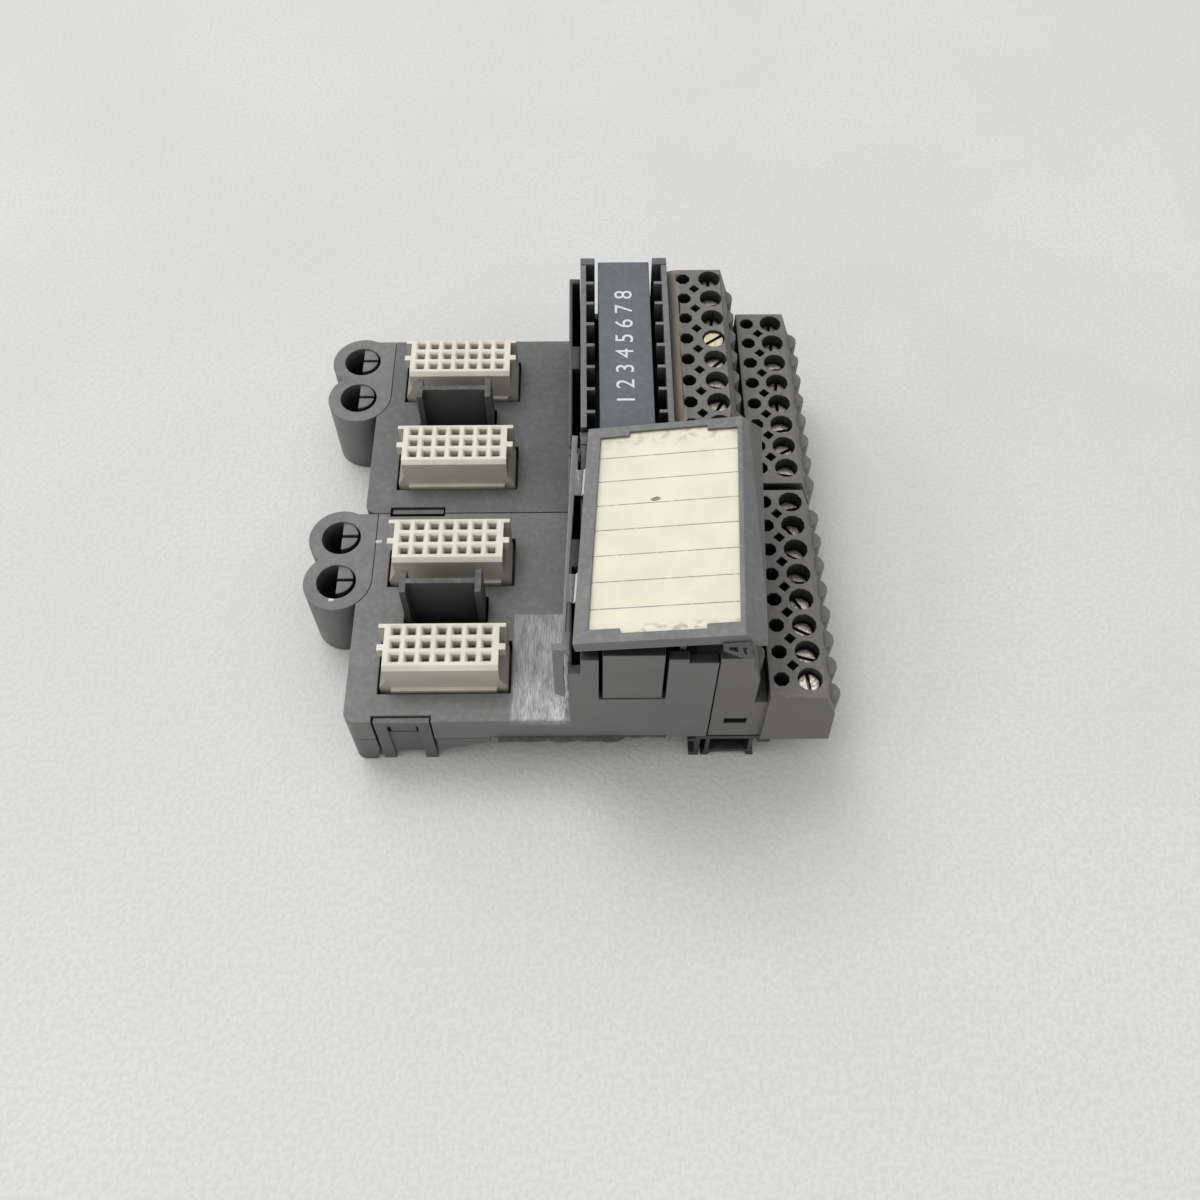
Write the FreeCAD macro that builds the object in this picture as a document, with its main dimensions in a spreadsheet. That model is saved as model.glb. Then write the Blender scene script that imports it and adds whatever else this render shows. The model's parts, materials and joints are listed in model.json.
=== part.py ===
import FreeCAD, Part
import os
import re
from collections import namedtuple

import Sketcher
from FreeCAD import Vector

# A rail-mounted terminal base of two like slices that stand side by side along Y. X runs across the rail,
# from the cam towers on the left to the screw terminals on the right, and Z runs up from the floor.
# Every piece of a slice is drawn from the slice's own near face, at Y = 0, and then set in its place.

# Driving dimensions in millimetres and degrees
SIZES = {
    # slices
    "slice_pitch": 42.5,
    "slice_gap": 0.1,
    "seam_y": 0.5,
    "slack": 0.15,
    # housing
    "plate_left": -36.5,
    "corner_round": 2.0,
    "plate_top": 14.5,
    "plate_thick": 1.5,
    "seat_z": 8.0,
    "wall": 1.2,
    "end_wall": 1.7,
    "end_top": 35.5,
    "end_right": 24.4,
    "notch_left": 19.8,
    "notch_bottom": 34.4,
    "recess_bottom": 31.2,
    # wire duct
    "duct_mid": 11.4,
    "duct_width": 13.9,
    "comb_wall": 1.05,
    "comb_top": 36.5,
    "duct_floor": 1.0,
    "slot_width": 10.7,
    "slot_bottom": 22.2,
    "finger_first": 5.0,
    "finger_pitch": 5.1,
    "finger_count": 7,
    "finger_length": 1.45,
    "finger_thick": 0.7,
    "pocket_gap": 1.5,
    "pocket_wall": 0.65,
    "pocket_top": 31.7,
    "pocket_end": 42.0,
    "bridge_near": 19.4,
    "bridge_length": 5.4,
    # lower pan and the 35 mm rail that it seats on
    "pan_thick": 1.2,
    "foot_round": 1.0,
    "rail_left": -12.45,
    "rail_width": 35.0,
    "rail_thick": 1.0,
    "hook_wall": 1.2,
    "hook_reach": 1.3,
    "hook_bottom": 5.4,
    "rib_near": 5.0,
    "rib_pitch": 29.0,
    "rib_width": 1.5,
    "break_left": -21.6,
    "break_depth": 5.4,
    "remains_right": 17.7,
    "remains_tall": 0.6,
    "foot_lean": 0.9,
    # cam tower
    "tower_x": -40.35,
    "tower_y": 27.75,
    "tower_spacing": 9.4,
    "lobe_r": 5.9,
    "tower_reach": 6.3,
    "socket_r": 3.5,
    "socket_floor": 3.0,
    "cam_r": 2.95,
    "cam_shift": 0.75,
    "cam_drop": 0.5,
    "cam_slot": 0.6,
    "cam_slot_y": 0.35,
    "cam_slot_depth": 1.6,
    # board and receptacles
    "board_z": 10.0,
    "board_thick": 1.6,
    "board_margin": 1.0,
    "rec_x": -19.95,
    "rec_y": 11.1,
    "rec_spacing": 21.25,
    "rec_top": 21.4,
    "rec_length": 19.2,
    "rec_front": 4.8,
    "rec_back": 3.9,
    "rec_chamfer": 0.7,
    "wing_out": 1.1,
    "wing_thick": 0.8,
    "rec_floor": 1.0,
    "contact_pitch": 2.54,
    "contact_ways": 7,
    "cavity": 1.25,
    "contact_long": 0.95,
    "contact_wide": 0.75,
    "contact_drop": 2.0,
    "key_wide": 1.2,
    "key_out": 1.1,
    "key_shift": 0.6,
    "key_tall": 2.2,
    "ear_out": 1.25,
    "ear_top": 17.2,
    "lip_out": 0.6,
    "lip_long": 17.9,
    "lip_top": 14.9,
    "frame_gap": 0.37,
    # latch post
    "post_x": -20.4,
    "post_y": 21.7,
    "post_wide": 13.8,
    "post_deep": 4.6,
    "post_arm": 1.1,
    "post_web": 1.0,
    "post_top": 24.2,
    "post_gap": 0.35,
    "post_front": 2.6,
    # side latch
    "clip_left": -31.55,
    "clip_right": -22.15,
    "clip_top": 14.0,
    "clip_deep": 1.0,
    "clip_leg": 2.1,
    "clip_bar": 1.4,
    "clip_web_bottom": 2.1,
    "clip_web_step": 0.45,
    "clip_groove_z": 9.6,
    "clip_groove": 0.4,
    "clip_relief": 0.6,
    "clip_gap": 0.3,
    # terminal block
    "block_bottom": 8.2,
    "block_gap": 0.2,
    "block_end": 42.35,
    "upper_top": 33.5,
    "upper_slope": 1.7,
    "upper_fall": 0.35,
    "upper_right": 29.75,
    "upper_flank": 31.3,
    "flank_drop": 5.0,
    "trench_z": 20.5,
    "lower_left": 33.4,
    "lower_right": 42.5,
    "lower_flank": 44.7,
    "lower_foot": 45.2,
    "lower_top": 23.8,
    "lower_drop": 6.3,
    "lower_near": -0.7,
    "lower_far": 40.35,
    "ways": 8,
    "way_pitch": 5.0,
    "upper_first": 4.9,
    "lower_first": 2.75,
    "wire_r": 1.15,
    "screw_hole_r": 2.05,
    "diamond": 1.45,
    "diamond_deep": 3.0,
    "upper_wire_x": 22.6,
    "upper_screw_x": 27.55,
    "lower_wire_x": 35.45,
    "lower_screw_x": 40.05,
    "diamond_shift": 2.0,
    "roof": 4.6,
    "cell_wide": 4.0,
    "cell_wall": 1.0,
    "bulge_r": 1.9,
    "upper_bulge_x": 30.5,
    "lower_bulge_x": 43.9,
    "bulge_drop": 4.8,
    "panel_slot_left": 26.9,
    "panel_slot_wide": 3.8,
    "panel_slot_z": 12.7,
    "panel_slot_tall": 2.0,
    "panel_slot_deep": 1.0,
    "panel_top": 35.4,
    # clamps, screws and links
    "clamp_tall": 6.0,
    "clamp_metal": 0.8,
    "screw_r": 1.85,
    "screw_long": 6.4,
    "drive_slot": 0.55,
    "drive_deep": 0.9,
    "link_wide": 0.7,
    "link_thick": 0.8,
    "link_gap": 0.2,
    "link_left": 14.5,
    # marker bar
    "bar_wide": 9.5,
    "bar_top": 35.6,
    "bar_thick": 1.3,
    "bar_lift": 1.0,
    "bar_flap": 1.3,
    # rail latch
    "foot_near": 0.15,
    "foot_long": 12.0,
    "foot_top": 7.7,
    "foot_leg": 0.85,
    "foot_grip": 0.15,
    "foot_catch": 1.2,
    "foot_toe": 0.9,
    "foot_toe_tall": 1.0,
    "foot_bridge": 1.1,
    "foot_space": 0.95,
    "foot_block": 8.1,
    "foot_block_floor": 1.3,
    "foot_splay": 0.6,
    "foot_tab": 2.3,
    "foot_tab_tall": 2.5,
    "foot_tab_space": 0.7,
    "foot_rim": 0.7,
    "foot_hollow": 8.0,
    "foot_travel": 3.0,
    "stem_tall": 2.6,
    "stem_wide": 2.4,
    "stem_long": 4.0,
    # cover, hinge rail and card
    "hinge_x": 3.16,
    "hinge_back": 21.6,
    "hinge_z": 37.77,
    "hinge_yaw": -3.48,
    "hinge_pitch": -2.6,
    "cover_tilt": 10.6,
    "cover_lift": 0.05,
    "cover_left": 0.5,
    "cover_wide": 25.6,
    "cover_near": -20.85,
    "cover_long": 42.4,
    "cover_thick": 1.5,
    "cover_lip": 0.7,
    "cover_lip_thick": 0.8,
    "window_left": 2.25,
    "window_wide": 22.6,
    "window_near": 2.45,
    "window_long": 37.75,
    "window_step": 0.85,
    "step_left": 7.05,
    "step_wide": 12.9,
    "card_recess": 0.5,
    "card_thick": 0.35,
    "card_lap": 0.6,
    "flange_out": 3.0,
    "flange_down": 3.3,
    "flange_thick": 1.2,
    "rail_strip": 0.5,
    "rail_strip_gap": 1.0,
    "rail_splay": 0.5,
    "rail_drop": 0.1,
    "rail_strip_thick": 1.3,
    "tab_first": -12.25,
    "tab_long": 5.33,
    "tab_pitch": 21.0,
    "tab_thick": 0.3,
    "tab_gap": 0.2,
    "end_tab": 3.3,
    "leg_near": 14.0,
    "leg_long": 3.5,
    "leg_in": 1.15,
    "leg_thick": 0.9,
    "leg_down": 16.0,
    "ear_left": 2.85,
    "ear_wide": 1.6,
    "ear_thick": 1.2,
    "ear_down": 13.4,
    "ear_point": 1.1,
}

# Places that several pieces share, as sums of the sizes above
SLICE = "(slice_pitch - slice_gap)"
DUCT_LEFT = "(duct_mid - duct_width / 2)"
DUCT_RIGHT = "(duct_mid + duct_width / 2)"
COMB_LEFT = "(duct_mid - duct_width / 2 - comb_wall)"
COMB_RIGHT = "(duct_mid + duct_width / 2 + comb_wall)"
POCKET_IN = f"({COMB_LEFT} - pocket_gap)"
POCKET_OUT = f"({COMB_LEFT} - pocket_gap - pocket_wall)"
CEILING = "(plate_top - plate_thick)"
INNER_LEFT = "(plate_left + wall + slack)"
INNER_RIGHT = f"({COMB_RIGHT} - wall - slack)"
INNER_NEAR = "(end_wall + slack)"
INNER_FAR = f"({SLICE} - end_wall - slack)"
PAN_TOP = "(seat_z + pan_thick)"
BOARD_TOP = "(board_z + board_thick)"
TOWER_RIGHT = "(tower_x + tower_reach)"
BLOCK_LEFT = f"({COMB_RIGHT} + block_gap)"
PANEL_LEFT = "(end_right + block_gap)"
BLOCK_NEAR = "(end_wall + slack)"
RAIL_RIGHT = "(rail_left + rail_width)"
LINK_FLOOR = f"({BOARD_TOP} + link_gap)"
LINK_ROOF = f"({LINK_FLOOR} + link_thick + link_gap)"
CAVITY_FLOOR = f"({BOARD_TOP} + rec_floor)"
CARD_TOP = "(cover_lift + cover_thick - card_recess)"

# The two tiers of a terminal block by the names of their sizes. The slot angles and depths of the
# clamp screws are in degrees and millimetres, from the near end of each row.
Tier = namedtuple("Tier", "name top first wire_x screw_x turns drops")
UPPER = Tier(
    "upper", "upper_top", "upper_first", "upper_wire_x", "upper_screw_x",
    {"near": (30, 70, 5, 120, 85, 50, 15, 100), "far": (20, 60, 165, 45, 35, 85, 10, 90)},
    {"near": (3.0, 2.8, 3.2, 3.0, 2.7, 3.1, 3.0, 2.9), "far": (2.3, 2.1, 2.2, 2.0, 0.5, 2.4, 2.2, 2.3)},
)
LOWER = Tier(
    "lower", "lower_top", "lower_first", "lower_wire_x", "lower_screw_x",
    {"near": (85, 15, 12, 55, 8, 20, 40, 10), "far": (170, 30, 10, 90, 80, 3, 85, 90)},
    {"near": (1.7, 2.4, 2.4, 2.6, 2.9, 2.8, 2.7, 2.6), "far": (2.3, 2.2, 2.1, 2.4, 2.3, 2.2, 2.4, 2.5)},
)

# Sides of the round details that repeat many times
WIRE_SIDES = 8
HOLE_SIDES = 12
SCREW_SIDES = 10
BULGE_SIDES = 10

# The break along the near skirt: shares of its length from the left, and of its depth below the rim
BREAK_LINE = ((0.0, 0.8), (0.06, 1.0), (0.09, 0.78), (0.35, 0.61), (0.53, 0.56), (0.8, 0.35), (1.0, 0.24))

# What is left of that skirt along the rail: shares of its length, and of its height
REMAINS_LINE = ((0.0, 0.3), (0.1, 0.15), (0.19, 0.4), (0.33, 0.1), (0.45, 0.35), (0.58, 0.15), (1.0, 0.7))

doc = FreeCAD.newDocument("terminal_base")
sheet = doc.addObject("Spreadsheet::Sheet", "Sizes")
for row, (alias, value) in enumerate(SIZES.items(), 1):
    sheet.set(f"A{row}", alias)
    sheet.set(f"B{row}", str(value))
    sheet.setAlias(f"B{row}", alias)
doc.recompute()

pieces = []


def bind(expression):
    """The expression with each size's name pointed at the sheet."""
    return re.sub(r"[A-Za-z_]\w*", lambda m: f"Sizes.{m[0]}" if m[0] in SIZES else m[0], str(expression))


def measure(expression):
    """The number that an expression of sizes comes to."""
    return float(sheet.evalExpression(bind(expression)))


def slice_start(place):
    """The near face of a slice in the part's own frame."""
    return "seam_y - slice_pitch" if place == "near" else "seam_y"


class Piece:
    """One sub-part, drawn on the origin planes of its own body."""

    def __init__(self, label, start=None):
        self.body = doc.addObject("PartDesign::Body", label)
        self.body.Label = label
        self.body.AllowCompound = True
        if start:
            self.body.setExpression("Placement.Base.y", bind(start))
        pieces.append(self.body)

    def origin(self, role):
        """An origin plane or axis of the body."""
        return next(f for f in self.body.Origin.OriginFeatures if f.Role == role)

    def sketch(self, plane, level):
        """A sketch on a plane at a level along X, Y or Z. The XZ plane faces -Y."""
        sketch = self.body.newObject("Sketcher::SketchObject", "Profile")
        sketch.AttachmentSupport = [(self.origin(f"{plane}_Plane"), "")]
        sketch.MapMode = "FlatFace"
        sign = "-" if plane == "XZ" else ""
        sketch.setExpression("AttachmentOffset.Base.z", bind(f"{sign}({level})"))
        return sketch

    def feature(self, kind, sketch, depth):
        """A pad or pocket of a sketch by a depth."""
        made = self.body.newObject(f"PartDesign::{kind}", kind)
        made.Profile = sketch
        made.setExpression("Length", bind(depth))
        doc.recompute()
        return made

    def pad(self, plane, low, high, *shapes):
        """Material from a low to a high level, with the section that the shapes draw."""
        sketch = self.sketch(plane, high if plane == "XZ" else low)
        for draw in shapes:
            draw(sketch)
        return self.feature("Pad", sketch, f"({high}) - ({low})")

    def pocket(self, plane, low, high, *shapes):
        """A cut from a low to a high level, which has to take some material away."""
        before = self.body.Shape.Volume
        sketch = self.sketch(plane, low if plane == "XZ" else high)
        for draw in shapes:
            draw(sketch)
        made = self.feature("Pocket", sketch, f"({high}) - ({low})")
        if self.body.Shape.Volume >= before:
            raise RuntimeError(f"a cut in {self.body.Label} takes nothing away")
        return made

    def repeat(self, made, pitch, count, axis="Y"):
        """Copies of a feature in a row along an axis."""
        row = self.body.newObject("PartDesign::LinearPattern", "Row")
        row.Originals = [made]
        row.Direction = (self.origin(f"{axis}_Axis"), [""])
        row.Mode = "Spacing"
        row.setExpression("Offset", bind(pitch))
        row.setExpression("Occurrences", bind(count))
        self.body.Tip = row
        doc.recompute()
        return row


def lock(sketch, kind, geometry, point, expression):
    """Hold a point's distance from the sketch's origin at an expression."""
    held = Sketcher.Constraint(kind, -1, 1, geometry, point, measure(expression))
    index = sketch.addConstraint(held)
    sketch.setExpression(f"Constraints[{index}]", bind(expression))


def outline(*points):
    """A closed outline. A third item on a point is the X of the centre of an arc to the next point."""

    def draw(sketch):
        places = [Vector(measure(p[0]), measure(p[1]), 0) for p in points]
        first = sketch.GeometryCount
        count = len(points)
        for i, point in enumerate(points):
            a, b = places[i], places[(i + 1) % count]
            if len(point) == 2:
                sketch.addGeometry(Part.LineSegment(a, b), False)
                continue
            cx = measure(point[2])
            cy = ((a.x - cx) ** 2 - (b.x - cx) ** 2 + a.y**2 - b.y**2) / (2 * (a.y - b.y))
            centre = Vector(cx, cy, 0)
            circle = Part.Circle(centre, Vector(0, 0, 1), (a - centre).Length)
            sketch.addGeometry(Part.ArcOfCircle(circle, circle.parameter(a), circle.parameter(b)), False)
        for i, point in enumerate(points):
            edge = first + i
            sketch.addConstraint(Sketcher.Constraint("Coincident", edge, 2, first + (i + 1) % count, 1))
            lock(sketch, "DistanceX", edge, 1, point[0])
            lock(sketch, "DistanceY", edge, 1, point[1])
            if len(point) == 3:
                lock(sketch, "DistanceX", edge, 3, point[2])

    return draw


def rectangle(left, right, low, high):
    """A rectangle between two values across and two values up."""
    return outline((left, low), (right, low), (right, high), (left, high))


def block(mid_x, mid_y, wide, deep):
    """A rectangle about a middle point."""
    return rectangle(
        f"{mid_x} - ({wide}) / 2", f"{mid_x} + ({wide}) / 2",
        f"{mid_y} - ({deep}) / 2", f"{mid_y} + ({deep}) / 2",
    )


def disc(x, y, radius):
    """A circle about a middle point."""

    def draw(sketch):
        middle = Vector(measure(x), measure(y), 0)
        edge = sketch.addGeometry(Part.Circle(middle, Vector(0, 0, 1), measure(radius)), False)
        lock(sketch, "DistanceX", edge, 3, x)
        lock(sketch, "DistanceY", edge, 3, y)
        index = sketch.addConstraint(Sketcher.Constraint("Radius", edge, measure(radius)))
        sketch.setExpression(f"Constraints[{index}]", bind(radius))

    return draw


def ring(x, y, radius, sides):
    """A regular many-sided ring about a middle point, for round details that repeat in rows."""
    step = 360 / sides
    return outline(*(
        (f"{x} + {radius} * cos({step * (k + 0.5)})", f"{y} + {radius} * sin({step * (k + 0.5)})")
        for k in range(sides)
    ))


def diamond(x, y, side):
    """A square that stands on its corner."""
    half = f"({side}) * 0.7071"
    return outline((x, f"{y} - {half}"), (f"{x} + {half}", y), (x, f"{y} + {half}"), (f"{x} - {half}", y))


def tower_outline(grow, left=None):
    """The straight back of the tower with its large round, grown and drawn out to the left for a cut."""
    near = f"tower_y - lobe_r - ({grow})"
    reach = f"tower_reach + ({grow})"
    far = f"{SLICE} + ({grow})"
    start = [(left, near)] if left else []
    return outline(
        *start, ("tower_x", near, "tower_x"), (f"tower_x + {reach}", f"{near} + {reach}"),
        (f"tower_x + {reach}", far), (left or "tower_x", far),
    )


def rounded_corner():
    """What the round at a slice's near left corner takes away."""
    return outline(
        ("plate_left", 0), ("plate_left", "corner_round", "plate_left + corner_round"),
        ("plate_left + corner_round", 0),
    )


def housing(place):
    """The top moulding: plate, rim, end walls with the duct's slots, and the wall of the narrow pocket."""
    piece = Piece(f"housing_{place}", slice_start(place))
    piece.pad("XZ", 0, SLICE, outline(
        ("plate_left", "seat_z"), ("plate_left + wall", "seat_z"), ("plate_left + wall", CEILING),
        (f"{COMB_RIGHT} - wall", CEILING), (f"{COMB_RIGHT} - wall", "seat_z"), (COMB_RIGHT, "seat_z"),
        (COMB_RIGHT, "plate_top"), (POCKET_IN, "plate_top"), (POCKET_IN, "pocket_top"),
        (POCKET_OUT, "pocket_top"), (POCKET_OUT, "plate_top"), ("plate_left", "plate_top"),
    ))
    piece.pad("XZ", 0, "end_wall", outline(
        ("plate_left", "seat_z"), ("end_right", "seat_z"), ("end_right", "end_top"), (POCKET_OUT, "end_top"),
        (POCKET_OUT, "plate_top"), ("plate_left", "plate_top"),
    ))
    piece.pad("XZ", f"{SLICE} - end_wall", SLICE, outline(
        ("plate_left", "seat_z"), (COMB_RIGHT, "seat_z"), (COMB_RIGHT, "comb_top"), (COMB_LEFT, "comb_top"),
        (COMB_LEFT, "plate_top"), ("plate_left", "plate_top"),
    ))
    piece.pad("XY", "plate_top", "pocket_top",
              rectangle(POCKET_IN, f"{COMB_LEFT} - slack", "bridge_near", "bridge_near + bridge_length"),
              rectangle(POCKET_IN, f"{COMB_LEFT} - slack", "pocket_end - wall", "pocket_end"))
    piece.pocket("XY", "plate_top", "pocket_top + wall", rectangle(
        f"{POCKET_OUT} - wall", COMB_LEFT, "pocket_end", f"{SLICE} + wall"))
    if place == "near":
        piece.pocket("XZ", 0, "end_wall", rectangle(
            "rail_left", "remains_right", "seat_z", "seat_z + remains_tall"))
    piece.pocket("XZ", 0, SLICE, rectangle(
        "duct_mid - slot_width / 2", "duct_mid + slot_width / 2", "slot_bottom", "end_top + wall"))
    piece.pocket(
        "XZ", 0, "end_wall",
        rectangle("notch_left", "end_right + wall", "notch_bottom", "end_top + wall"),
        rectangle(f"{POCKET_OUT} - wall", f"{COMB_LEFT} - slack", "recess_bottom", "end_top + wall"),
    )
    well_half = "(rec_length / 2 + ear_out + frame_gap)"
    well = piece.pocket("XY", CEILING, "plate_top", rectangle(
        f"rec_x - {well_half}", f"rec_x + {well_half}",
        "rec_y - rec_front - lip_out - frame_gap", "rec_y + rec_back + frame_gap"))
    piece.repeat(well, "rec_spacing", 2)
    piece.pocket("XY", CEILING, "plate_top", rectangle(
        "post_x - post_wide / 2 - post_gap", "post_x + post_wide / 2 + post_gap",
        "post_y - post_deep / 2 - post_gap", "post_y + post_deep / 2 + post_gap"))
    piece.pocket("XY", "seat_z", "plate_top", tower_outline("slack / 3", "tower_x - lobe_r"))
    piece.pocket("XY", "seat_z", "plate_top", rounded_corner())
    piece.pocket("XZ", 0, "clip_deep + clip_gap", rectangle(
        "clip_left - clip_gap", "clip_right + clip_gap", "seat_z", "plate_top"))
    piece.pocket("XZ", f"{SLICE} - clip_relief", SLICE, rectangle(
        "clip_left - clip_gap", "clip_right + clip_gap", CEILING, "plate_top"))
    piece.pocket("YZ", f"{COMB_RIGHT} - wall", COMB_RIGHT, rectangle(
        BLOCK_NEAR, INNER_FAR, f"{LINK_FLOOR} - link_gap / 2", CEILING))


def wire_duct(place):
    """The channel that wires run in, with fingers along both walls, set on the plate between the ends."""
    piece = Piece(f"wire_duct_{place}", slice_start(place))
    seat = "(plate_top + link_gap / 4)"
    floor = f"({seat} + duct_floor)"
    piece.pad("XZ", INNER_NEAR, INNER_FAR, outline(
        (COMB_LEFT, seat), (COMB_RIGHT, seat), (COMB_RIGHT, "comb_top"), (DUCT_RIGHT, "comb_top"),
        (DUCT_RIGHT, floor), (DUCT_LEFT, floor), (DUCT_LEFT, "comb_top"), (COMB_LEFT, "comb_top"),
    ))
    finger = piece.pad(
        "XY", floor, "comb_top",
        rectangle(DUCT_LEFT, f"{DUCT_LEFT} + finger_length", "finger_first", "finger_first + finger_thick"),
        rectangle(f"{DUCT_RIGHT} - finger_length", DUCT_RIGHT, "finger_first", "finger_first + finger_thick"),
    )
    piece.repeat(finger, "finger_pitch", "finger_count")


def base_pan(place):
    """The lower moulding: closing plate, skirt on the left, and the fixed hook for the rail."""
    piece = Piece(f"base_pan_{place}", slice_start(place))
    under = "seat_z - pan_thick"
    rim = "seat_z - slack"
    piece.pad("XZ", INNER_NEAR, INNER_FAR, outline(
        ("plate_left", "foot_round", "plate_left + foot_round"), ("plate_left + foot_round", 0),
        ("plate_left + wall", 0), ("plate_left + wall", under),
        ("rail_left - hook_wall", under), ("rail_left - hook_wall", "hook_bottom"),
        ("rail_left + hook_reach", "hook_bottom"), ("rail_left + hook_reach", "seat_z - rail_thick - slack"),
        ("rail_left", "seat_z - rail_thick - slack"), ("rail_left", "seat_z"), (INNER_RIGHT, "seat_z"),
        (INNER_RIGHT, PAN_TOP), (INNER_LEFT, PAN_TOP), (INNER_LEFT, rim), ("plate_left", rim),
    ))
    corner = ("plate_left", "foot_round", "plate_left + foot_round"), ("plate_left + foot_round", 0)
    whole = outline(*corner, ("rail_left", 0), ("rail_left", rim), ("plate_left", rim))
    piece.pad("XZ", f"{INNER_FAR}", SLICE, whole)
    if place == "near":
        ragged = [
            (f"break_left + {along} * (rail_left - break_left)", f"{rim} - {deep} * break_depth")
            for along, deep in BREAK_LINE
        ]
        foot = outline(
            *corner, ("clip_left - clip_gap - foot_lean", 0), ("clip_left - clip_gap", f"({rim}) / 2"),
            ("clip_left - clip_gap", rim), ("plate_left", rim),
        )
        left_over = [
            (f"rail_left + {along} * (remains_right - rail_left)", f"seat_z + {up} * remains_tall")
            for along, up in REMAINS_LINE
        ]
        under_rim = "seat_z + remains_tall - slack / 2"
        piece.pad("XZ", 0, INNER_NEAR, foot)
        piece.pad("XZ", 0, INNER_NEAR, outline(*ragged, ("rail_left", rim), ("break_left", rim)))
        piece.pad("XZ", 0, INNER_NEAR, outline(
            *left_over, ("remains_right", under_rim), ("rail_left", under_rim)))
    else:
        piece.pad("XZ", 0, INNER_NEAR, whole)
        piece.pocket("XZ", 0, INNER_NEAR, rectangle("clip_left - clip_gap", "clip_right + clip_gap", 0, rim))
    rib = piece.pad("XY", PAN_TOP, "board_z - link_gap / 4", rectangle(
        f"{TOWER_RIGHT} + board_margin", "duct_mid", "rib_near", "rib_near + rib_width"))
    piece.repeat(rib, "rib_pitch", 2)
    piece.pocket("XY", 0, PAN_TOP, tower_outline("slack / 3", "tower_x - lobe_r"))
    piece.pocket("XY", 0, rim, rounded_corner())


def bolt_tower(place):
    """The figure-eight insert with two sockets, each half filled by a slotted cam post."""
    piece = Piece(f"bolt_tower_{place}", slice_start(place))
    lobe = piece.pad("XY", 0, "plate_top", disc("tower_x", "tower_y", "lobe_r"))
    piece.repeat(lobe, "tower_spacing", 2)
    piece.pad("XY", 0, "plate_top", tower_outline("0"))
    socket = piece.pocket("XY", "socket_floor", "plate_top", disc("tower_x", "tower_y", "socket_r"))
    piece.repeat(socket, "tower_spacing", 2)
    middle = "tower_y + cam_shift"
    cam = piece.pad("XY", "socket_floor", "plate_top - cam_drop", outline(
        ("tower_x", f"{middle} - cam_r", "tower_x"), ("tower_x", f"{middle} + cam_r")))
    piece.repeat(cam, "tower_spacing", 2)
    groove = piece.pocket("XY", "plate_top - cam_drop - cam_slot_depth", "plate_top - cam_drop", rectangle(
        "tower_x", "tower_x + cam_r", "tower_y + cam_slot_y", "tower_y + cam_slot_y + cam_slot"))
    piece.repeat(groove, "tower_spacing", 2)


def latch_post(place):
    """The H-shaped post that a plug-in module locks on, standing on the pan through the board."""
    piece = Piece(f"latch_post_{place}", slice_start(place))
    left, right = "(post_x - post_wide / 2)", "(post_x + post_wide / 2)"
    near, far = "(post_y - post_deep / 2)", "(post_y + post_deep / 2)"
    web_near, web_far = "(post_y - post_web / 2)", "(post_y + post_web / 2)"
    piece.pad("XY", f"{PAN_TOP} + link_gap / 2", "post_top", outline(
        (left, near), (f"{left} + post_arm", near), (f"{left} + post_arm", web_near),
        (f"{right} - post_arm", web_near), (f"{right} - post_arm", near), (right, near), (right, far),
        (f"{right} - post_arm", far), (f"{right} - post_arm", web_far), (f"{left} + post_arm", web_far),
        (f"{left} + post_arm", far), (left, far),
    ))


def side_latch(place):
    """The U-shaped snap frame in the near face, with a set-back web and the slit around its tongue."""
    piece = Piece(f"side_latch_{place}", slice_start(place))
    piece.pad("XZ", "slack", "clip_deep + slack", outline(
        ("clip_left", 0), ("clip_left + clip_leg", 0), ("clip_left + clip_leg", "clip_top - clip_bar"),
        ("clip_right - clip_leg", "clip_top - clip_bar"), ("clip_right - clip_leg", 0), ("clip_right", 0),
        ("clip_right", "clip_top"), ("clip_left", "clip_top"),
    ))
    piece.pad("XZ", "slack + clip_web_step", "clip_deep + slack", rectangle(
        "clip_left + clip_leg", "clip_right - clip_leg", "clip_web_bottom", "clip_top - clip_bar"))
    left, right, top = "(clip_left + clip_leg)", "(clip_right - clip_leg)", "(clip_top - clip_bar)"
    piece.pocket("XZ", "slack + clip_web_step", "clip_deep + slack", outline(
        (left, "clip_groove_z"), (right, "clip_groove_z"), (right, top), (f"{right} - clip_groove", top),
        (f"{right} - clip_groove", "clip_groove_z + clip_groove"),
        (f"{left} + clip_groove", "clip_groove_z + clip_groove"), (f"{left} + clip_groove", top), (left, top),
    ))


def circuit_board(place):
    """The board that joins the receptacles to the terminals, with a slot for the latch post."""
    piece = Piece(f"circuit_board_{place}", slice_start(place))
    piece.pad("XY", "board_z", BOARD_TOP, rectangle(
        f"{TOWER_RIGHT} + board_margin", f"{INNER_RIGHT} - slack",
        f"{INNER_NEAR} + board_margin / 2", f"{INNER_FAR} - board_margin / 2"))
    piece.pocket("XY", "board_z", BOARD_TOP, block(
        "post_x", "post_y", "post_wide + 2 * post_gap", "post_deep + 2 * post_gap"))


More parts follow.
